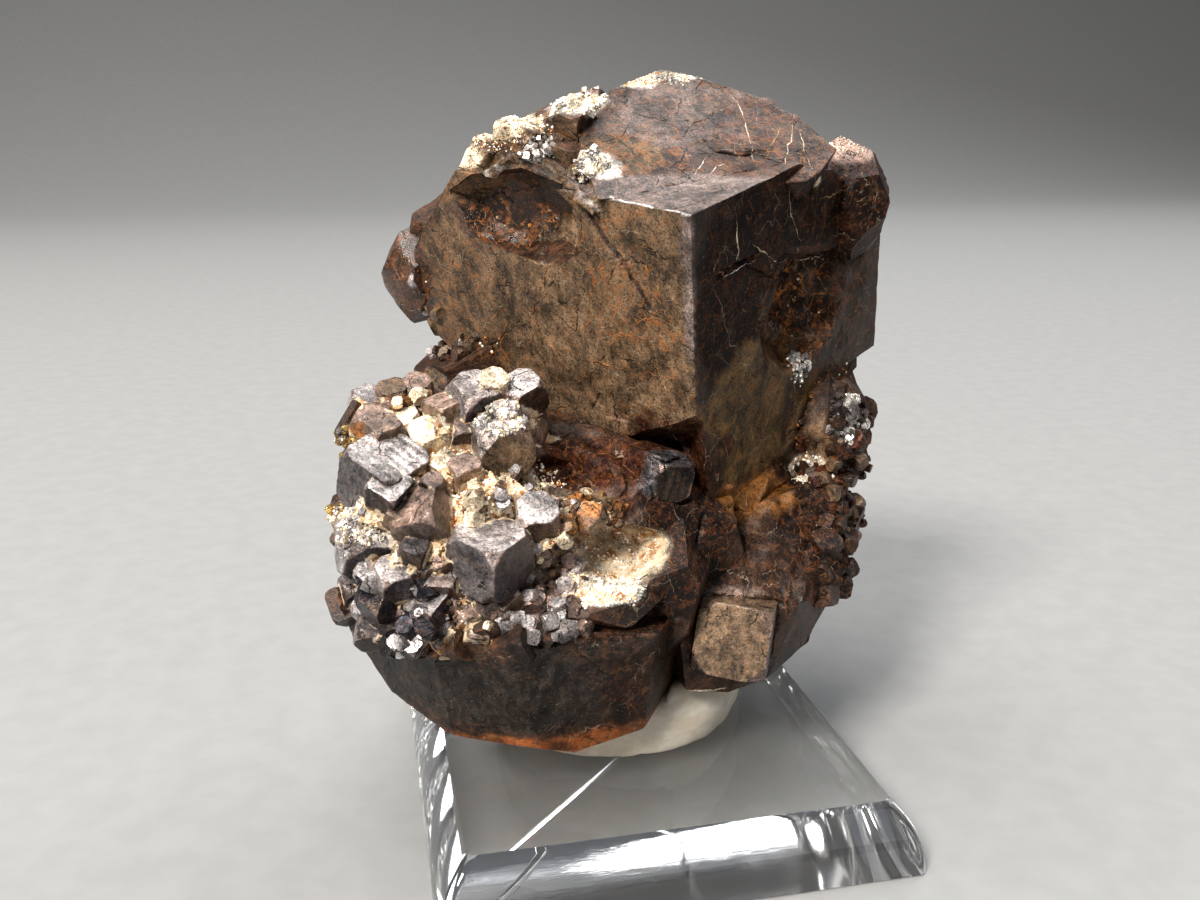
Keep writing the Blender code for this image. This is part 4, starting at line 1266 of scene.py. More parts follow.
@dataclass
class StoneBody:
    """The stone: the solid's faces cut fine, rounded, roughened and coloured."""

    finish: bpy.types.Material
    front_edge: float = 0.48
    side_edge: float = 0.70
    back_edge: float = 1.05
    sides: tuple[float, float] = (0.0, 8.0)
    back: tuple[float, float] = (9.0, 15.0)
    crack_edge: float = 0.16
    crack_growth: float = 0.9
    crack_room: float = 0.2
    crack_step: float = 0.2
    facet_angles: tuple[float, float] = (33.0, 45.0)
    broad_areas: tuple[float, float] = (3.0, 30.0)
    plane_reach: float = 0.08
    same_way: float = 0.99
    rounding_rounds: int = 5
    rounding: float = 0.4
    crystal_rounding: float = 0.012
    large_cubes: Relief = Relief(2.6, 0.85, 20)
    small_cubes: Relief = Relief(1.15, 0.42, 60)
    sunk: float = 0.1
    grains: Relief = Relief(0.9, 0.12, 27)
    plates: Relief = Relief(3.4, 0.10, 5)
    plate_bend: Relief = Relief(2.2, 0.9, 9)
    chips: Relief = Relief(1.5, 0.05, 15)
    chip_bend: Relief = Relief(1.3, 0.5, 11)
    ripples: Relief = Relief(0.8, 0.03, 27)
    swells: Relief = Relief(3.0, 0.06, 28)
    least_relief: float = 0.12
    moat: float = 0.12
    moat_depth: float = 0.28
    cavity_rounds: int = 22
    cavity_rounding: float = 0.6
    hollow_cavity: tuple[float, float] = (0.0, 0.18)
    proud_cavity: tuple[float, float] = (0.05, 0.40)
    thick_crust: tuple[float, float] = (0.55, 0.75)
    crust_least: float = 0.2
    crust_gain: float = 1.9
    crust_on_lumps: float = 0.85
    proud_gloss: float = 0.12
    hollow_dull: float = 0.25
    # Proud places lighter, partly wear and partly painted highlight; hollows darker, painted shade.
    proud_wear_and_highlight: float = 0.35
    hollow_painted_shade: float = 0.25
    crack_dark: float = 0.9
    ridge_tint: float = 0.8
    ridge_gloss: float = 0.85
    surface: Surface = field(init=False)
    normals: Array = field(init=False)
    rough: Array = field(init=False)
    broad: Array = field(init=False)
    cavity: Array = field(init=False)
    covered: Array = field(init=False)
    paint: Paint = field(init=False)

    def wanted_edges(self, middles: Array, cracks: Array) -> Array:
        """The greatest edge length wanted at some places: fine in front and along the cracks.

        Args:
            middles: the places.
            cracks: points along the cracks.

        Returns:
            A length for each place.
        """
        y = middles[:, 1]
        wanted = self.front_edge + (self.side_edge - self.front_edge) * eased(y, *self.sides)
        wanted += (self.back_edge - self.side_edge) * eased(y, *self.back)
        low, high = cracks.min(axis=0) - 1.0, cracks.max(axis=0) + 1.0
        rows = np.flatnonzero(np.all((middles > low) & (middles < high), axis=1))
        for chunk in np.array_split(rows, max(1, len(rows) // MOST_AT_ONCE)):
            if len(chunk):
                away = np.linalg.norm(middles[chunk, None] - cracks[None], axis=2).min(axis=1)
                fine = self.crack_edge + self.crack_growth * np.maximum(away - self.crack_room, 0.0)
                wanted[chunk] = np.minimum(wanted[chunk], fine)
        return wanted

    def on_named_face(self, middle: Array, direction: Array) -> Array:
        """Which places lie on the main crystal's three faces or on the crown's front face.

        Args:
            middle: the places.
            direction: the surface's direction at each.

        Returns:
            Whether each place does.
        """
        found = np.zeros(len(middle), dtype=bool)
        for crystal, axis, side in ((MAIN, 1, -1.0), (MAIN, 0, 1.0), (MAIN, 2, 1.0), (CROWN, 1, -1.0)):
            in_plane = np.abs(crystal.local(middle)[:, axis]) < self.plane_reach
            facing = side * (direction @ stand(*crystal.stands))[:, axis] > self.same_way
            found |= in_plane & facing
        return found

    def cut(self) -> None:
        """Reads the solid, sorts its facets into crystal faces and lumps, and cuts them fine."""
        surface = Surface.of_node("specimen")
        angle, area = surface.find_facets()
        hard = eased(angle, *self.facet_angles)
        middle = surface.points[surface.triangles].mean(axis=1)
        direction, _ = surface.face_normals()
        for zone in HARD_ZONES:
            hard = np.maximum(hard, zone.weight(middle, direction))
        hard = np.where(self.on_named_face(middle, direction), 1.0, hard)
        by_facet, broad_facet = np.zeros(len(hard)), np.zeros(len(hard))
        by_facet[surface.facet] = hard
        broad_facet[surface.facet] = eased(area, *self.broad_areas)
        cracks = np.concatenate([line.fine(self.crack_step) for line in CRACKS + RIDGES])
        surface.cut_fine(lambda middles: self.wanted_edges(middles, cracks))
        self.surface = surface
        _, area = surface.face_normals()
        whole = surface.gathered(area)
        self.rough = 1.0 - surface.gathered(by_facet[surface.facet] * area) / whole
        self.broad = surface.gathered(broad_facet[surface.facet] * area) / whole

    def carve(self) -> None:
        """Rounds and roughens the surface.

        Lumps are evened out and pushed about by noise of several sizes and by grains. Crystal
        faces get low plates, each at its own height, and a fine ripple. Cracks are pressed in,
        and the surface draws back under the crystals that stand on it.
        """
        surface = self.surface
        go = self.crystal_rounding + self.rounding * self.rough
        surface.points = surface.mean_of_neighbours(surface.points, self.rounding_rounds, go)
        points, normals = surface.points, surface.normals()
        lumpy = self.large_cubes.cubes(points) + self.small_cubes.cubes(points) - self.sunk
        lumpy += self.grains.waves(points)
        ripple = self.plates.steps(points, self.plate_bend) + self.chips.steps(points, self.chip_bend)
        ripple += self.ripples.waves(points) + self.swells.waves(points)
        ripple *= self.least_relief + (1.0 - self.least_relief) * self.broad
        height = self.rough * lumpy + (1.0 - self.rough) * ripple
        for line in CRACKS + RIDGES:
            rows, share = line.reach(points)
            height[rows] += line.height * share
        self.covered = np.any([crystal.holds(points, self.moat) for crystal in CRYSTALS], axis=0)
        height = np.where(self.covered, -self.moat_depth, height)
        surface.points = points + normals * height[:, None]
        self.normals = surface.normals()
        evened = surface.mean_of_neighbours(surface.points, self.cavity_rounds, self.cavity_rounding)
        self.cavity = np.sum((evened - surface.points) * self.normals, axis=1)

    def colour(self) -> None:
        """Lays the zones' colours, crust in the crusted zones' crevices, wear, painted shade in hollows and
        highlight on bumps.
        """
        points = self.surface.points
        self.paint = Paint.plain(len(points), Tint.DARK_BROWN)
        for zone in ZONES:
            self.paint.lay(zone, zone.weight(points, self.normals))
        paint = self.paint
        hollow = eased(self.cavity, *self.hollow_cavity)
        proud = eased(-self.cavity, *self.proud_cavity)
        held = self.crust_least + self.crust_gain * np.maximum(self.crust_on_lumps * self.rough, hollow)
        held = np.maximum(eased(paint.crust, *self.thick_crust), held)
        paint.crust = np.clip(paint.crust * held, 0.0, 1.0)
        paint.gloss = np.clip(paint.gloss + self.proud_gloss * proud - self.hollow_dull * hollow, 0.0, 1.0)
        # Painted shade in the hollows; proud places lighter, partly wear and partly painted highlight.
        paint.tint *= (1.0 + self.proud_wear_and_highlight * proud - self.hollow_painted_shade * hollow)[:, None]
        for line in CRACKS:
            rows, share = line.reach(points)
            paint.tint[rows] *= (1.0 - self.crack_dark * share)[:, None]
            paint.rust[rows] *= 1.0 - share
        # Ridges take their tint and gloss; the white tints on the crest and on the ledge's edge are painted
        # highlights.
        for line in RIDGES:
            rows, share = line.reach(points)
            change = np.array(line.tint.value) - paint.tint[rows]
            paint.tint[rows] += change * self.ridge_tint * share[:, None]
            paint.gloss[rows] += (self.ridge_gloss - paint.gloss[rows]) * share

    def build(self) -> bpy.types.Object:
        """Makes the stone in the solid's place and returns it."""
        self.cut()
        self.carve()
        self.colour()
        stone = add_piece("stone_body", to_object(self.surface.points), self.surface.triangles, self.paint)
        shade(stone, 32.0)
        dress(stone, self.finish, "limonite", "specimen")
        return stone


def form(habit: Habit, cut: float = 0.45) -> tuple[Array, Array]:
    """The form of a crystal or grain: the hull of a few corners, half an edge of 1.

    Args:
        habit: which form.
        cut: where the planes at a cube's corners cut its edges: at 1 the corners are whole.

    Returns:
        Its corners and its triangles.
    """
    signs = np.array(list(np.ndindex(2, 2, 2))) * 2.0 - 1.0
    if habit is Habit.CUT_CUBE:
        corners = np.concatenate([signs * np.roll((1.0, 1.0, cut), shift) for shift in range(3)])
    elif habit is Habit.GRAIN:
        golden = (1.0 + math.sqrt(5.0)) / 2.0
        flat = np.array([(a, b * golden, 0.0) for a in (-1, 1) for b in (-1, 1)]) / 1.9
        corners = np.concatenate([np.roll(flat, shift, axis=1) for shift in range(3)])
    else:
        corners = signs
    bm = bmesh.new()
    for corner in corners:
        bm.verts.new(corner)
    bmesh.ops.convex_hull(bm, input=bm.verts)
    bmesh.ops.triangulate(bm, faces=bm.faces)
    bmesh.ops.recalc_face_normals(bm, faces=bm.faces)
    bm.verts.index_update()
    points = np.array([v.co[:] for v in bm.verts])
    triangles = np.array([[v.index for v in face.verts] for face in bm.faces])
    bm.free()
    return points, triangles


def spins(count: int, rng: np.random.Generator) -> Array:
    """Random rotations, from random quaternions.

    Args:
        count: how many.
        rng: where the random numbers come from.

    Returns:
        The rotations, each three by three.
    """
    q = rng.normal(size=(count, 4))
    q[:, 0] = np.abs(q[:, 0])
    w, x, y, z = unit(q).T
    rows = [
        1 - 2 * (y * y + z * z), 2 * (x * y - z * w), 2 * (x * z + y * w),
        2 * (x * y + z * w), 1 - 2 * (x * x + z * z), 2 * (y * z - x * w),
        2 * (x * z - y * w), 2 * (y * z + x * w), 1 - 2 * (x * x + y * y),
    ]
    return np.stack(rows, axis=1).reshape(-1, 3, 3)


def joined(parts: Sequence[tuple[Array, Array, Paint]]) -> tuple[Array, Array, Paint]:
    """Puts several surfaces into one.

    Args:
        parts: the corners, triangles and paint of each.

    Returns:
        The corners, triangles and paint of all.
    """
    starts = np.cumsum([0] + [len(points) for points, _, _ in parts[:-1]])
    points = np.concatenate([points for points, _, _ in parts])
    triangles = np.concatenate([faces + start for (_, faces, _), start in zip(parts, starts)])
    names = ("tint", *Paint.VALUES)
    paint = Paint(*(np.concatenate([getattr(made, name) for _, _, made in parts]) for name in names))
    return points, triangles, paint


@dataclass
class CrystalSet:
    """The cluster's larger crystals: flat faces with growth lines, and powder at their feet."""

    crystals: tuple[Crystal, ...] = CRYSTALS
    edge: float = 0.28
    bevel_rounds: int = 2
    bevel: float = 0.22
    line_spacing: float = 0.62
    line_squareness: float = 2.5
    line_bend: Relief = Relief(1.9, 0.35, 39)
    levels: Relief = Relief(1.3, 0.022, 35)
    level_bend: Relief = Relief(0.9, 0.3, 33)
    grain: Relief = Relief(0.6, 0.010, 37)
    face_facing: tuple[float, float] = (0.93, 0.99)
    gloss: float = 0.78
    # How far a face must look towards the key lamp to take the painted lit top tint.
    lit_facing: tuple[float, float] = (0.25, 0.60)
    rim_facing: tuple[float, float] = (0.80, 0.97)
    rim_reach: tuple[float, float] = (-1.0, 0.1)
    rim_share: float = 0.6
    foot_room: float = 0.06
    powder_reach: tuple[float, float] = (0.12, 0.75)
    powder_edge: Relief = Relief(0.5, 0.18, 43)
    most_at_once: int = 600
    surface: Surface = field(init=False)
    normals: Array = field(init=False)
    cavity: Array = field(init=False)
    covered: Array = field(init=False)

    def grown(self, crystal: Crystal, stone: StoneBody) -> tuple[Array, Array, Paint]:
        """Makes one crystal.

        Its form is cut fine and its edges are worn a little. Each cube face gets growth lines, a
        wave of one coordinate with flattened tops, and low steps between random cells. Powder
        lies where the crystal comes out of the stone.

        Args:
            crystal: the crystal.
            stone: the stone that it stands on.

        Returns:
            Its corners, triangles and paint.
        """
        corners, faces = form(Habit.CUT_CUBE, crystal.cut)
        surface = Surface(corners * crystal.half, faces, np.zeros(len(faces), dtype=np.int64))
        surface.cut_fine(self.edge)
        flat, out = surface.points, surface.normals()
        turned = stand(*crystal.stands)
        there = flat @ turned.T + np.array(crystal.centre)
        height = self.levels.steps(there, self.level_bend) + self.grain.waves(there)
        for axis in range(3):
            facing = eased(np.abs(out[:, axis]), *self.face_facing)
            along = flat[:, (axis + 2) % 3] / self.line_spacing + self.line_bend.waves(there, 2)
            wave = np.tanh(self.line_squareness * np.sin(2.0 * np.pi * along))
            height += crystal.lines * facing * wave
        worn = surface.mean_of_neighbours(flat, self.bevel_rounds, self.bevel)
        surface.points = (worn + out * height[:, None]) @ turned.T + np.array(crystal.centre)
        paint = self.painted(crystal, flat, out)
        self.powder(crystal, surface.points, stone, paint)
        return surface.points, surface.triangles, paint

    def painted(self, crystal: Crystal, flat: Array, out: Array) -> Paint:
        """Lays a crystal's two tints as painted light and shade by facing, and a paler rim where its faces
        meet.

        Args:
            crystal: the crystal.
            flat: its corners in its own frame, before they are worn.
            out: the surface's direction at each, in the same frame.

        Returns:
            Its paint.
        """
        paint = Paint.plain(len(flat), crystal.side, self.gloss, crystal.metal)
        # Painted light and shade: the share of the top tint grows as a face looks towards the key lamp.
        upwards = out @ stand(*crystal.stands).T @ unit(np.array(UPWARDS))
        lit_share = eased(upwards, *self.lit_facing)[:, None]
        inner = eased(np.abs(out).max(axis=1), *self.rim_facing)
        rim = 1.0 - inner * eased(crystal.half - np.abs(flat).max(axis=1), *self.rim_reach)
        paint.tint += (np.array(crystal.top.value) - paint.tint) * lit_share
        paint.tint += (np.array(Tint.PINK_GREY.value) - paint.tint) * self.rim_share * rim[:, None]
        return paint

    def powder(self, crystal: Crystal, points: Array, stone: StoneBody, paint: Paint) -> None:
        """Lays powder on a crystal by its distance to the stone that it comes out of.

        Args:
            crystal: the crystal.
            points: its corners.
            stone: the stone.
            paint: the crystal's paint, which gets the crust.
        """
        here = np.abs(stone.surface.points - np.array(crystal.centre)) < 2.0 * crystal.half + 1.0
        near = stone.surface.points[np.all(here, axis=1)]
        near = near[~crystal.holds(near, self.foot_room)]
        if len(near):
            chunks = np.array_split(points, max(1, len(points) // self.most_at_once))
            nearest = [np.linalg.norm(some[:, None] - near[None], axis=2).min(axis=1) for some in chunks]
            away = np.concatenate(nearest) + self.powder_edge.waves(points)
            paint.crust = crystal.powder * (1.0 - eased(away, *self.powder_reach))

    def build(self, stone: StoneBody) -> bpy.types.Object:
        """Makes one piece of all the crystals.

        Args:
            stone: the stone.

        Returns:
            The piece.
        """
        points, triangles, paint = joined([self.grown(crystal, stone) for crystal in self.crystals])
        self.surface = Surface(points, triangles)
        self.normals = self.surface.normals()
        self.cavity = np.zeros(len(points))
        self.covered = self.cavity > 0.0
        piece = add_piece("large_crystals", to_object(points), triangles, paint)
        shade(piece, 30.0)
        dress(piece, stone.finish, "limonite")
        return piece


@dataclass(frozen=True)
class Patch:
    """Where small crystals grow, how many, how large, and what they look like."""

    zone: Zone
    count: int
    sizes: tuple[float, float]
    habit: Habit
    tints: tuple[Tint, ...]
    gloss: float = 0.6
    metal: float = 0.0
    crust: float = 0.0
    lift: float = 0.3
    crevices: float = 0.0
    on_crystals: bool = False


@dataclass
class Druse:
    """Small crystals or grains, seated on the stone in patches."""

    name: str
    patches: tuple[Patch, ...]
    seed: int
    crevice_cavity: tuple[float, float] = (0.03, 0.3)
    small_first: float = 2.2
    stretch: tuple[float, float] = (0.75, 1.2)
    tint_spread: tuple[float, float] = (0.7, 1.25)

    def grown(
        self, patch: Patch, ground: "StoneBody | CrystalSet", rng: np.random.Generator
    ) -> tuple[Array, Array, Paint]:
        """Seats the crystals of one patch.

        Seats are picked at random on the ground's triangles, by area and by the patch's share
        there, or more in crevices. Each crystal is the patch's form, scaled, stretched, turned
        and moved to its seat.

        Args:
            patch: the patch.
            ground: the stone or its larger crystals.
            rng: where the random numbers come from.

        Returns:
            The crystals' corners, triangles and paint.
        """
        surface = ground.surface
        _, area = surface.face_normals()
        share = np.where(ground.covered, 0.0, patch.zone.weight(surface.points, ground.normals))
        if patch.crevices > 0.0:
            crevice = eased(ground.cavity, *self.crevice_cavity)
            share = share * (crevice * patch.crevices + 1.0 - patch.crevices)
        weight = area * share[surface.triangles].mean(axis=1)
        chosen = rng.choice(len(area), patch.count, p=weight / weight.sum())
        mixed = rng.dirichlet((1.0, 1.0, 1.0), patch.count)[:, :, None]
        seats = (surface.points[surface.triangles[chosen]] * mixed).sum(axis=1)
        out = ground.normals[surface.triangles[chosen, 0]]
        least, greatest = patch.sizes
        size = least + (greatest - least) * rng.random(patch.count) ** self.small_first
        body, faces = form(patch.habit)
        stretched = body[None] * rng.uniform(*self.stretch, (patch.count, 1, 3)) * size[:, None, None]
        turned = np.einsum("nij,nkj->nki", spins(patch.count, rng), stretched)
        points = turned + (seats + out * (patch.lift * size)[:, None])[:, None]
        starts = np.arange(patch.count)[:, None, None] * len(body)
        triangles = (faces[None] + starts).reshape(-1, 3)
        count = points.shape[0] * points.shape[1]
        paint = Paint.plain(count, patch.tints[0], patch.gloss, patch.metal)
        choices = np.array([tint.value for tint in patch.tints])
        tints = choices[rng.integers(len(choices), size=patch.count)]
        tints = tints * rng.uniform(*self.tint_spread, (patch.count, 1))
        paint.tint = np.repeat(tints, len(body), axis=0)
        paint.crust = np.full(count, patch.crust)
        return points.reshape(-1, 3), triangles, paint

    def build(self, stone: StoneBody, crystals: "CrystalSet") -> bpy.types.Object:
        """Grows every patch and makes one piece of them.

        Args:
            stone: the stone.
            crystals: its larger crystals.

        Returns:
            The piece.
        """
        rng = np.random.default_rng(self.seed)
        grown = [self.grown(patch, crystals if patch.on_crystals else stone, rng) for patch in self.patches]
        points, triangles, paint = joined(grown)
        piece = add_piece(self.name, to_object(points), triangles, paint)
        shade(piece, None)
        dress(piece, stone.finish, "limonite")
        return piece


@dataclass
class VeinSet:
    """The veins that stand out of the crystal faces as thin pale ridges."""

    veins: tuple[Line, ...] = VEINS
    around: int = 6
    thin: float = 0.62
    room: float = 1.5
    end_room: float = 0.002
    least_width: float = 0.12
    width_gain: float = 0.75
    swells: Relief = Relief(0.9, 1.0, 77)
    swell_range: tuple[float, float] = (-0.35, 0.55)
    gloss: float = 0.5
    shade: float = 0.55
    shade_change: Relief = Relief(0.8, 0.3, 71)

    def ridge(self, vein: Line, stone: StoneBody) -> tuple[Array, Array, Paint]:
        """One vein: a flattened ring carried along its path, on the stone's surface.

        A point of the ridge is the path's point, plus the width times the cosine of the way
        round along the side, plus the height times its sine along the surface's direction. The
        width swells and thins along the path and goes to nothing at both ends.

        Args:
            vein: the vein.
            stone: the stone.

        Returns:
            The ridge's corners, triangles and paint.
        """
        row = vein.fine()
        there = stone.surface.points
        low, high = row.min(axis=0) - self.room, row.max(axis=0) + self.room
        rows = np.flatnonzero(np.all((there > low) & (there < high), axis=1))
        nearest = rows[np.linalg.norm(row[:, None] - there[rows][None], axis=2).argmin(axis=1)]
        out = stone.normals[nearest]
        lift = np.sum((there[nearest] - row) * out, axis=1)
        row = row + out * lift[:, None]
        side = unit(np.cross(unit(np.gradient(row, axis=0)), out))
        share = np.clip(np.linspace(0.0, 1.0, len(row)), self.end_room, 1.0 - self.end_room)
        swell = self.least_width + self.width_gain * eased(self.swells.waves(row, 3), *self.swell_range)
        swell = (swell * np.sqrt(np.sin(np.pi * share)))[:, None, None]
        turn = np.linspace(0.0, 2.0 * np.pi, self.around, endpoint=False)[None, :, None]
        wide = self.thin * vein.width * swell * np.cos(turn) * side[:, None]
        high = vein.height * swell * np.sin(turn) * out[:, None]
        points = (row[:, None] + wide + high).reshape(-1, 3)
        paint = Paint.plain(len(points), vein.tint, self.gloss)
        paint.tint = paint.tint * (self.shade + self.shade_change.waves(points))[:, None]
        return points, closed_rings(len(row), self.around), paint

    def build(self, stone: StoneBody) -> bpy.types.Object:
        """Makes one piece of all the veins and returns it."""
        points, triangles, paint = joined([self.ridge(vein, stone) for vein in self.veins])
        piece = add_piece("veins", to_object(points), triangles, paint)
        shade(piece, 60.0)
        dress(piece, stone.finish, "limonite")
        return piece


@dataclass
class PuttyPad:
    """The putty: its solid cut fine, swollen to fill the gaps, with the dents of fingers."""

    finish: bpy.types.Material
    edge: float = 0.6
    rounding_rounds: int = 6
    rounding: float = 0.4
    swell: float = 0.28
    dents: Relief = Relief(3.4, 0.16, 41)
    foot: tuple[float, float] = (5.6, 5.0)
    sink: float = 0.3
    floor: float = 4.61

    def build(self) -> bpy.types.Object:
        """Makes the putty in the solid's place and returns it."""
        surface = Surface.of_node("putty")
        surface.cut_fine(self.edge)
        surface.points = surface.mean_of_neighbours(surface.points, self.rounding_rounds, self.rounding)
        height = self.swell + self.dents.waves(surface.points, 3)
        surface.points = surface.points + surface.normals() * height[:, None]
        low = eased(surface.points[:, 2], *self.foot)
        surface.points[:, 2] = np.maximum(surface.points[:, 2] - self.sink * low, self.floor)
        piece = add_piece("putty_pad", to_object(surface.points), surface.triangles)
        shade(piece, 50.0)
        dress(piece, self.finish, "putty", "putty")
        return piece


@dataclass
class ClearBlock:
    """The display block: a square with round corners, whose sides bow in from foot to top."""

    finish: bpy.types.Material
    side: float = 32.0
    height: float = 4.6
    bow: float = 1.85
    corner: float = 0.7
    top_angle: float = 50.0
    rim: float = 0.10
    corner_steps: int = 10
    side_steps: int = 24

    def outline(self, inset: Array, height: Array) -> Array:
        """Rings round the block: a square with round corners at each inset and height.

        A ring's point is the corner circle's middle plus the radius times the direction, for a
        direction that goes once round, a quarter of the way at each corner.

        Args:
            inset: how far each ring's sides are from the foot's.
            height: each ring's height.

        Returns:
            The rings' points, by ring, then by place round it.
        """
        steps = np.linspace(0.0, np.pi / 2.0, self.corner_steps + 1)
        turn = (np.arange(4)[:, None] * np.pi / 2.0 + steps[None]).ravel()
        quarter = np.repeat(np.arange(4), self.corner_steps + 1) * np.pi / 2.0 + np.pi / 4.0
        reach = (self.side / 2.0 - self.corner - inset)[:, None] * math.sqrt(2.0)
        x = reach * np.cos(quarter)[None] + self.corner * np.cos(turn)[None]
        y = reach * np.sin(quarter)[None] + self.corner * np.sin(turn)[None]
        return np.stack([x, y, np.broadcast_to(height[:, None], x.shape)], axis=2)

    def build(self) -> bpy.types.Object:
        """Makes the block in the solid's place and returns it."""
        angle = np.linspace(0.0, math.radians(self.top_angle), self.side_steps)
        inset = self.bow * (1.0 - np.cos(angle)) / (1.0 - math.cos(angle[-1]))
        height = (self.height - self.rim) * np.sin(angle) / math.sin(angle[-1])
        inset = np.concatenate([[self.rim], inset, [self.bow + self.rim * 1.5]])
        height = np.concatenate([[0.0], np.maximum(height, self.rim * 0.6), [self.height]])
        rings = self.outline(inset, height)
        outwards = closed_rings(rings.shape[0], rings.shape[1])[:, [0, 2, 1]]
        piece = add_piece("clear_block", rings.reshape(-1, 3), outwards)
        shade(piece, 24.0)
        dress(piece, self.finish, "clear_acrylic", "display_block")
        return piece


@dataclass(frozen=True)
class Lamp:
    """A soft square lamp that looks at the stone: lengths in millimetres, power in watts."""

    name: str
    place: Point
    size: float
    power: float
    colour: Colour

    def hang(self, target: Point) -> None:
        """Hangs the lamp, turned to a target.

        Args:
            target: the point that it looks at, in millimetres.
        """
        data = bpy.data.lights.new(self.name, "AREA")
        data.size = self.size * MM
        data.energy = self.power
        data.color = self.colour
        lamp = bpy.data.objects.new(self.name, data)
        place, towards = Vector(self.place) * MM, (Vector(target) - Vector(self.place)) * MM
        turn = towards.to_track_quat("-Z", "Y").to_matrix().to_4x4()
        lamp.matrix_world = Matrix.Translation(place) @ turn
        bpy.context.scene.collection.objects.link(lamp)


@dataclass
class Stage:
    """A plain pale ground that sweeps up behind, soft lights, and the camera.

    The camera's place, in the stone's frame, and its tilt were worked out from the block's edges.
    """

    finish: bpy.types.Material
    depth: float = -0.05
    reach: float = 1500.0
    half_width: float = 1400.0
    top: float = 1400.0
    sweep: float = 900.0
    sweep_steps: int = 24
    looked_at: Point = (0.0, 0.0, 26.0)
    lamps: tuple[Lamp, ...] = (
        Lamp("key", (-480.0, -460.0, 640.0), 220.0, 15.0, (1.0, 0.96, 0.90)),
        Lamp("top", (-200.0, 80.0, 850.0), 620.0, 8.5, (1.0, 0.98, 0.95)),
        Lamp("fill", (300.0, -740.0, 420.0), 600.0, 0.8, (0.92, 0.95, 1.0)),
        Lamp("back", (360.0, 380.0, 620.0), 420.0, 3.5, (0.95, 0.97, 1.0)),
    )
    sky: Colour = (0.80, 0.84, 0.90)
    sky_strength: float = 0.13
    bounces: int = 24
    glossy_bounces: int = 16
    camera_place: Point = (-2.53, -76.5, 47.3)
    camera_tilt: float = 74.1
    lens: float = 34.2
    sensor: float = 36.0
    nearest_seen: float = 1.0

    def ground(self) -> bpy.types.Object:
        """Makes the ground: a flat strip that turns up at the back along a quarter circle."""
        angle = np.linspace(0.0, np.pi / 2.0, self.sweep_steps)
        y = np.concatenate([[-self.reach], self.reach - self.sweep + self.sweep * np.sin(angle)])
        z = np.concatenate([[self.depth], self.depth + self.sweep * (1.0 - np.cos(angle))])
        y, z = np.append(y, y[-1]), np.append(z, self.top)
        x = np.array([-self.half_width, self.half_width])
        points = np.stack(np.broadcast_arrays(x[None], y[:, None], z[:, None]), axis=2).reshape(-1, 3)
        row = 2 * np.arange(len(y) - 1)
        halves = [(row, row + 1, row + 2), (row + 1, row + 3, row + 2)]
        triangles = np.concatenate([np.stack(corners, axis=1) for corners in halves])
        piece = add_piece("ground", points, triangles)
        shade(piece, 60.0)
        piece.data.materials.append(self.finish)
        return piece

    def camera(self) -> None:
        """Sets the camera at the picture's viewing angle."""
        data = bpy.data.cameras.new("camera")
        data.sensor_width = self.sensor
        data.lens = self.lens
        data.clip_start = self.nearest_seen * MM
        camera = bpy.data.objects.new("camera", data)
        tilt = Matrix.Rotation(math.radians(self.camera_tilt), 4, "X")
        turn = Matrix.Rotation(math.radians(SPECIMEN_TURN), 4, "Z")
        camera.matrix_world = turn @ Matrix.Translation(Vector(self.camera_place) * MM) @ tilt
        bpy.context.scene.collection.objects.link(camera)
        bpy.context.scene.camera = camera

    def build(self) -> None:
        """Sets up the ground, the lights, the world and the camera."""
        scene = bpy.context.scene
        scene.view_settings.view_transform = "Standard"
        scene.cycles.max_bounces = self.bounces
        scene.cycles.glossy_bounces = self.glossy_bounces
        scene.cycles.transmission_bounces = self.bounces
        self.ground()
        for lamp in self.lamps:
            lamp.hang(self.looked_at)
        world = bpy.data.worlds.new("soft_room")
        world.use_nodes = True
        sky = world.node_tree.nodes["Background"].inputs
        sky["Color"].default_value = opaque(self.sky)
        sky["Strength"].default_value = self.sky_strength
        scene.world = world
        self.camera()


CLUSTER = Zone((-11.5, -7.0, 21.6), (9.4, 8.0, 6.4), ragged=0.2)


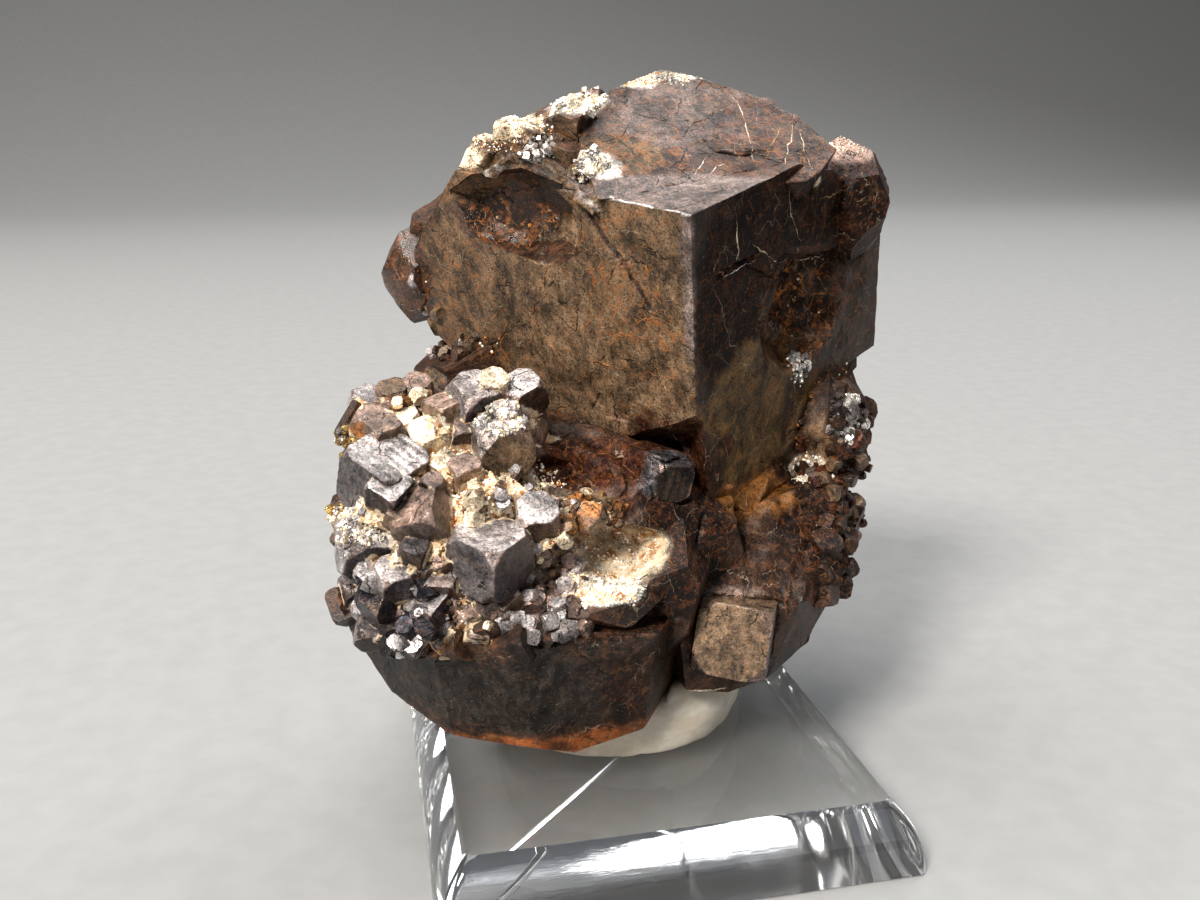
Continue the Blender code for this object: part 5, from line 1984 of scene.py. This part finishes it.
DRUSES = (
    Druse("cluster_druse", (
        Patch(CLUSTER, 130, (0.18, 0.55), Habit.CUT_CUBE,
              (Tint.STEEL, Tint.PINK_GREY, Tint.CREAM, Tint.UMBER), 0.7, 0.3, crevices=0.6),
        Patch(Zone((-15.8, -10.2, 18.0), (4.6, 3.0, 2.6)), 60, (0.3, 0.8), Habit.CUT_CUBE,
              (Tint.BLUE_BLACK, Tint.STEEL), 0.85, 0.7),
        Patch(Zone((-3.7, -6.8, 22.9), (3.0, 2.6, 1.6)), 90, (0.15, 0.42), Habit.CUT_CUBE,
              (Tint.ORANGE, Tint.GOLD_BROWN, Tint.UMBER), 0.5, 0.1),
        Patch(Zone((-7.6, -9.0, 17.4), (4.6, 3.0, 2.6)), 90, (0.25, 0.7), Habit.CUT_CUBE,
              (Tint.STEEL, Tint.PINK_GREY, Tint.LILAC), 0.8, 0.5),
        Patch(Zone((-15.8, 0.0, 28.4), (3.8, 4.4, 2.0)), 70, (0.2, 0.5), Habit.CUT_CUBE,
              (Tint.GOLD_BROWN, Tint.CREAM, Tint.PINK_GREY), 0.5, 0.2),
    ), 3),
    Druse("bright_druse", (
        Patch(Zone((-8.8, -5.0, 28.8), (2.0, 2.4, 1.3), facing=UPWARDS), 460, (0.05, 0.15), Habit.CUBE,
              (Tint.WHITE, Tint.CREAM, Tint.STEEL), 0.85, 0.3, on_crystals=True),
        Patch(Zone((-18.0, -8.8, 22.4), (1.9, 2.2, 1.7), facing=UPWARDS), 420, (0.05, 0.16), Habit.CUBE,
              (Tint.WHITE, Tint.STEEL, Tint.CREAM), 0.9, 0.4, on_crystals=True),
        Patch(Zone((-11.0, -10.4, 18.0), (1.6, 1.6, 1.2)), 110, (0.05, 0.15), Habit.CUBE,
              (Tint.CREAM, Tint.STEEL, Tint.UMBER), 0.8, 0.4, on_crystals=True),
        Patch(Zone((-19.6, -4.0, 25.0), (1.8, 5.0, 3.2)), 620, (0.08, 0.26), Habit.CUT_CUBE,
              (Tint.GOLD, Tint.GOLD, Tint.STEEL), 0.85, 0.7),
        Patch(Zone((16.2, 8.6, 25.6), (2.2, 3.0, 1.8)), 150, (0.10, 0.40), Habit.CUT_CUBE,
              (Tint.STEEL, Tint.LILAC, Tint.WHITE), 0.8, 0.5),
        Patch(Zone((12.4, 6.2, 30.2), (1.2, 1.6, 1.2)), 60, (0.08, 0.24), Habit.CUT_CUBE,
              (Tint.WHITE, Tint.STEEL), 0.8, 0.4),
        Patch(Zone((-3.1, -0.4, 44.9), (0.95, 1.1, 1.0)), 200, (0.06, 0.20), Habit.CUBE,
              (Tint.WHITE, Tint.CREAM, Tint.STEEL), 0.85, 0.3),
        Patch(Zone((-6.4, 2.8, 45.8), (1.6, 1.6, 1.0)), 220, (0.07, 0.24), Habit.CUBE,
              (Tint.WHITE, Tint.UMBER, Tint.STEEL), 0.8, 0.3),
    ), 5),
    Druse("crust_grains", (
        Patch(Zone((-12.6, -6.6, 22.6), (8.4, 8.4, 6.8)), 3400, (0.04, 0.15), Habit.GRAIN,
              (Tint.CREAM, Tint.CREAM, Tint.WHITE, Tint.ORANGE), 0.2, lift=0.1, crevices=0.7),
        Patch(Zone((-1.9, -5.6, 19.8), (4.0, 4.4, 1.8)), 600, (0.04, 0.13), Habit.GRAIN,
              (Tint.CREAM, Tint.WHITE), 0.2, lift=0.0),
        Patch(Zone((-2.6, -8.6, 18.7), (3.6, 2.2, 0.9)), 800, (0.04, 0.15), Habit.GRAIN,
              (Tint.WHITE, Tint.WHITE, Tint.CREAM), 0.3, lift=0.1),
        Patch(Zone((-4.4, 3.8, 49.0), (2.8, 3.2, 1.3)), 700, (0.05, 0.16), Habit.CUBE,
              (Tint.WHITE, Tint.CREAM), 0.6, 0.1, lift=0.1),
        Patch(Zone((-9.8, 5.2, 46.8), (5.6, 2.6, 1.5)), 850, (0.04, 0.12), Habit.GRAIN,
              (Tint.CREAM, Tint.ORANGE, Tint.WHITE), 0.2, lift=0.0),
        Patch(Zone((0.4, 7.8, 50.8), (4.4, 3.2, 0.8)), 560, (0.04, 0.12), Habit.GRAIN,
              (Tint.WHITE, Tint.CREAM), 0.3, lift=0.0),
        Patch(Zone((15.2, 9.8, 46.2), (1.6, 2.4, 1.1)), 200, (0.04, 0.13), Habit.GRAIN,
              (Tint.CREAM, Tint.PINK_GREY), 0.3, lift=0.0),
        Patch(Zone((13.6, 7.0, 22.0), (2.0, 2.2, 1.2)), 220, (0.05, 0.18), Habit.GRAIN,
              (Tint.CREAM, Tint.WHITE), 0.3, lift=0.1),
    ), 8),
    Druse("back_druse", (
        Patch(Zone((4.0, 16.0, 20.0), (16.0, 10.0, 10.0)), 420, (0.22, 0.7), Habit.CUT_CUBE,
              (Tint.UMBER, Tint.DARK_BROWN, Tint.GOLD_BROWN), 0.6, 0.2, crevices=0.9),
        Patch(Zone((-8.0, 16.0, 30.0), (10.0, 8.0, 10.0)), 300, (0.22, 0.7), Habit.CUT_CUBE,
              (Tint.UMBER, Tint.DARK_BROWN, Tint.STEEL), 0.6, 0.2, crevices=0.9),
        Patch(Zone((-16.0, 6.0, 22.0), (7.0, 9.0, 8.0)), 300, (0.2, 0.65), Habit.CUT_CUBE,
              (Tint.STEEL, Tint.UMBER, Tint.PINK_GREY), 0.7, 0.5, crevices=0.7),
        Patch(Zone((15.0, 10.0, 18.0), (5.0, 9.0, 8.0)), 260, (0.2, 0.6), Habit.CUT_CUBE,
              (Tint.UMBER, Tint.RED_BROWN, Tint.DARK_BROWN), 0.6, 0.3, crevices=0.7),
        Patch(Zone((0.0, 16.0, 30.0), (22.0, 12.0, 24.0)), 1500, (0.06, 0.22), Habit.GRAIN,
              (Tint.ORANGE, Tint.CREAM, Tint.GOLD_BROWN), 0.2, lift=0.0, crevices=1.0),
    ), 13),
)


def main() -> None:
    """Builds the stone and what grows on it, then the putty, the block and the stage."""
    logging.basicConfig(level=logging.INFO, format="%(name)s %(message)s")
    stone = StoneBody(LimoniteFinish().material())
    stone.build()
    crystals = CrystalSet()
    crystals.build(stone)
    for druse in DRUSES:
        druse.build(stone, crystals)
    VeinSet().build(stone)
    PuttyPad(PuttyFinish().material()).build()
    ClearBlock(AcrylicFinish().material()).build()
    Stage(FloorFinish().material()).build()


if __name__ == "__main__":
    main()
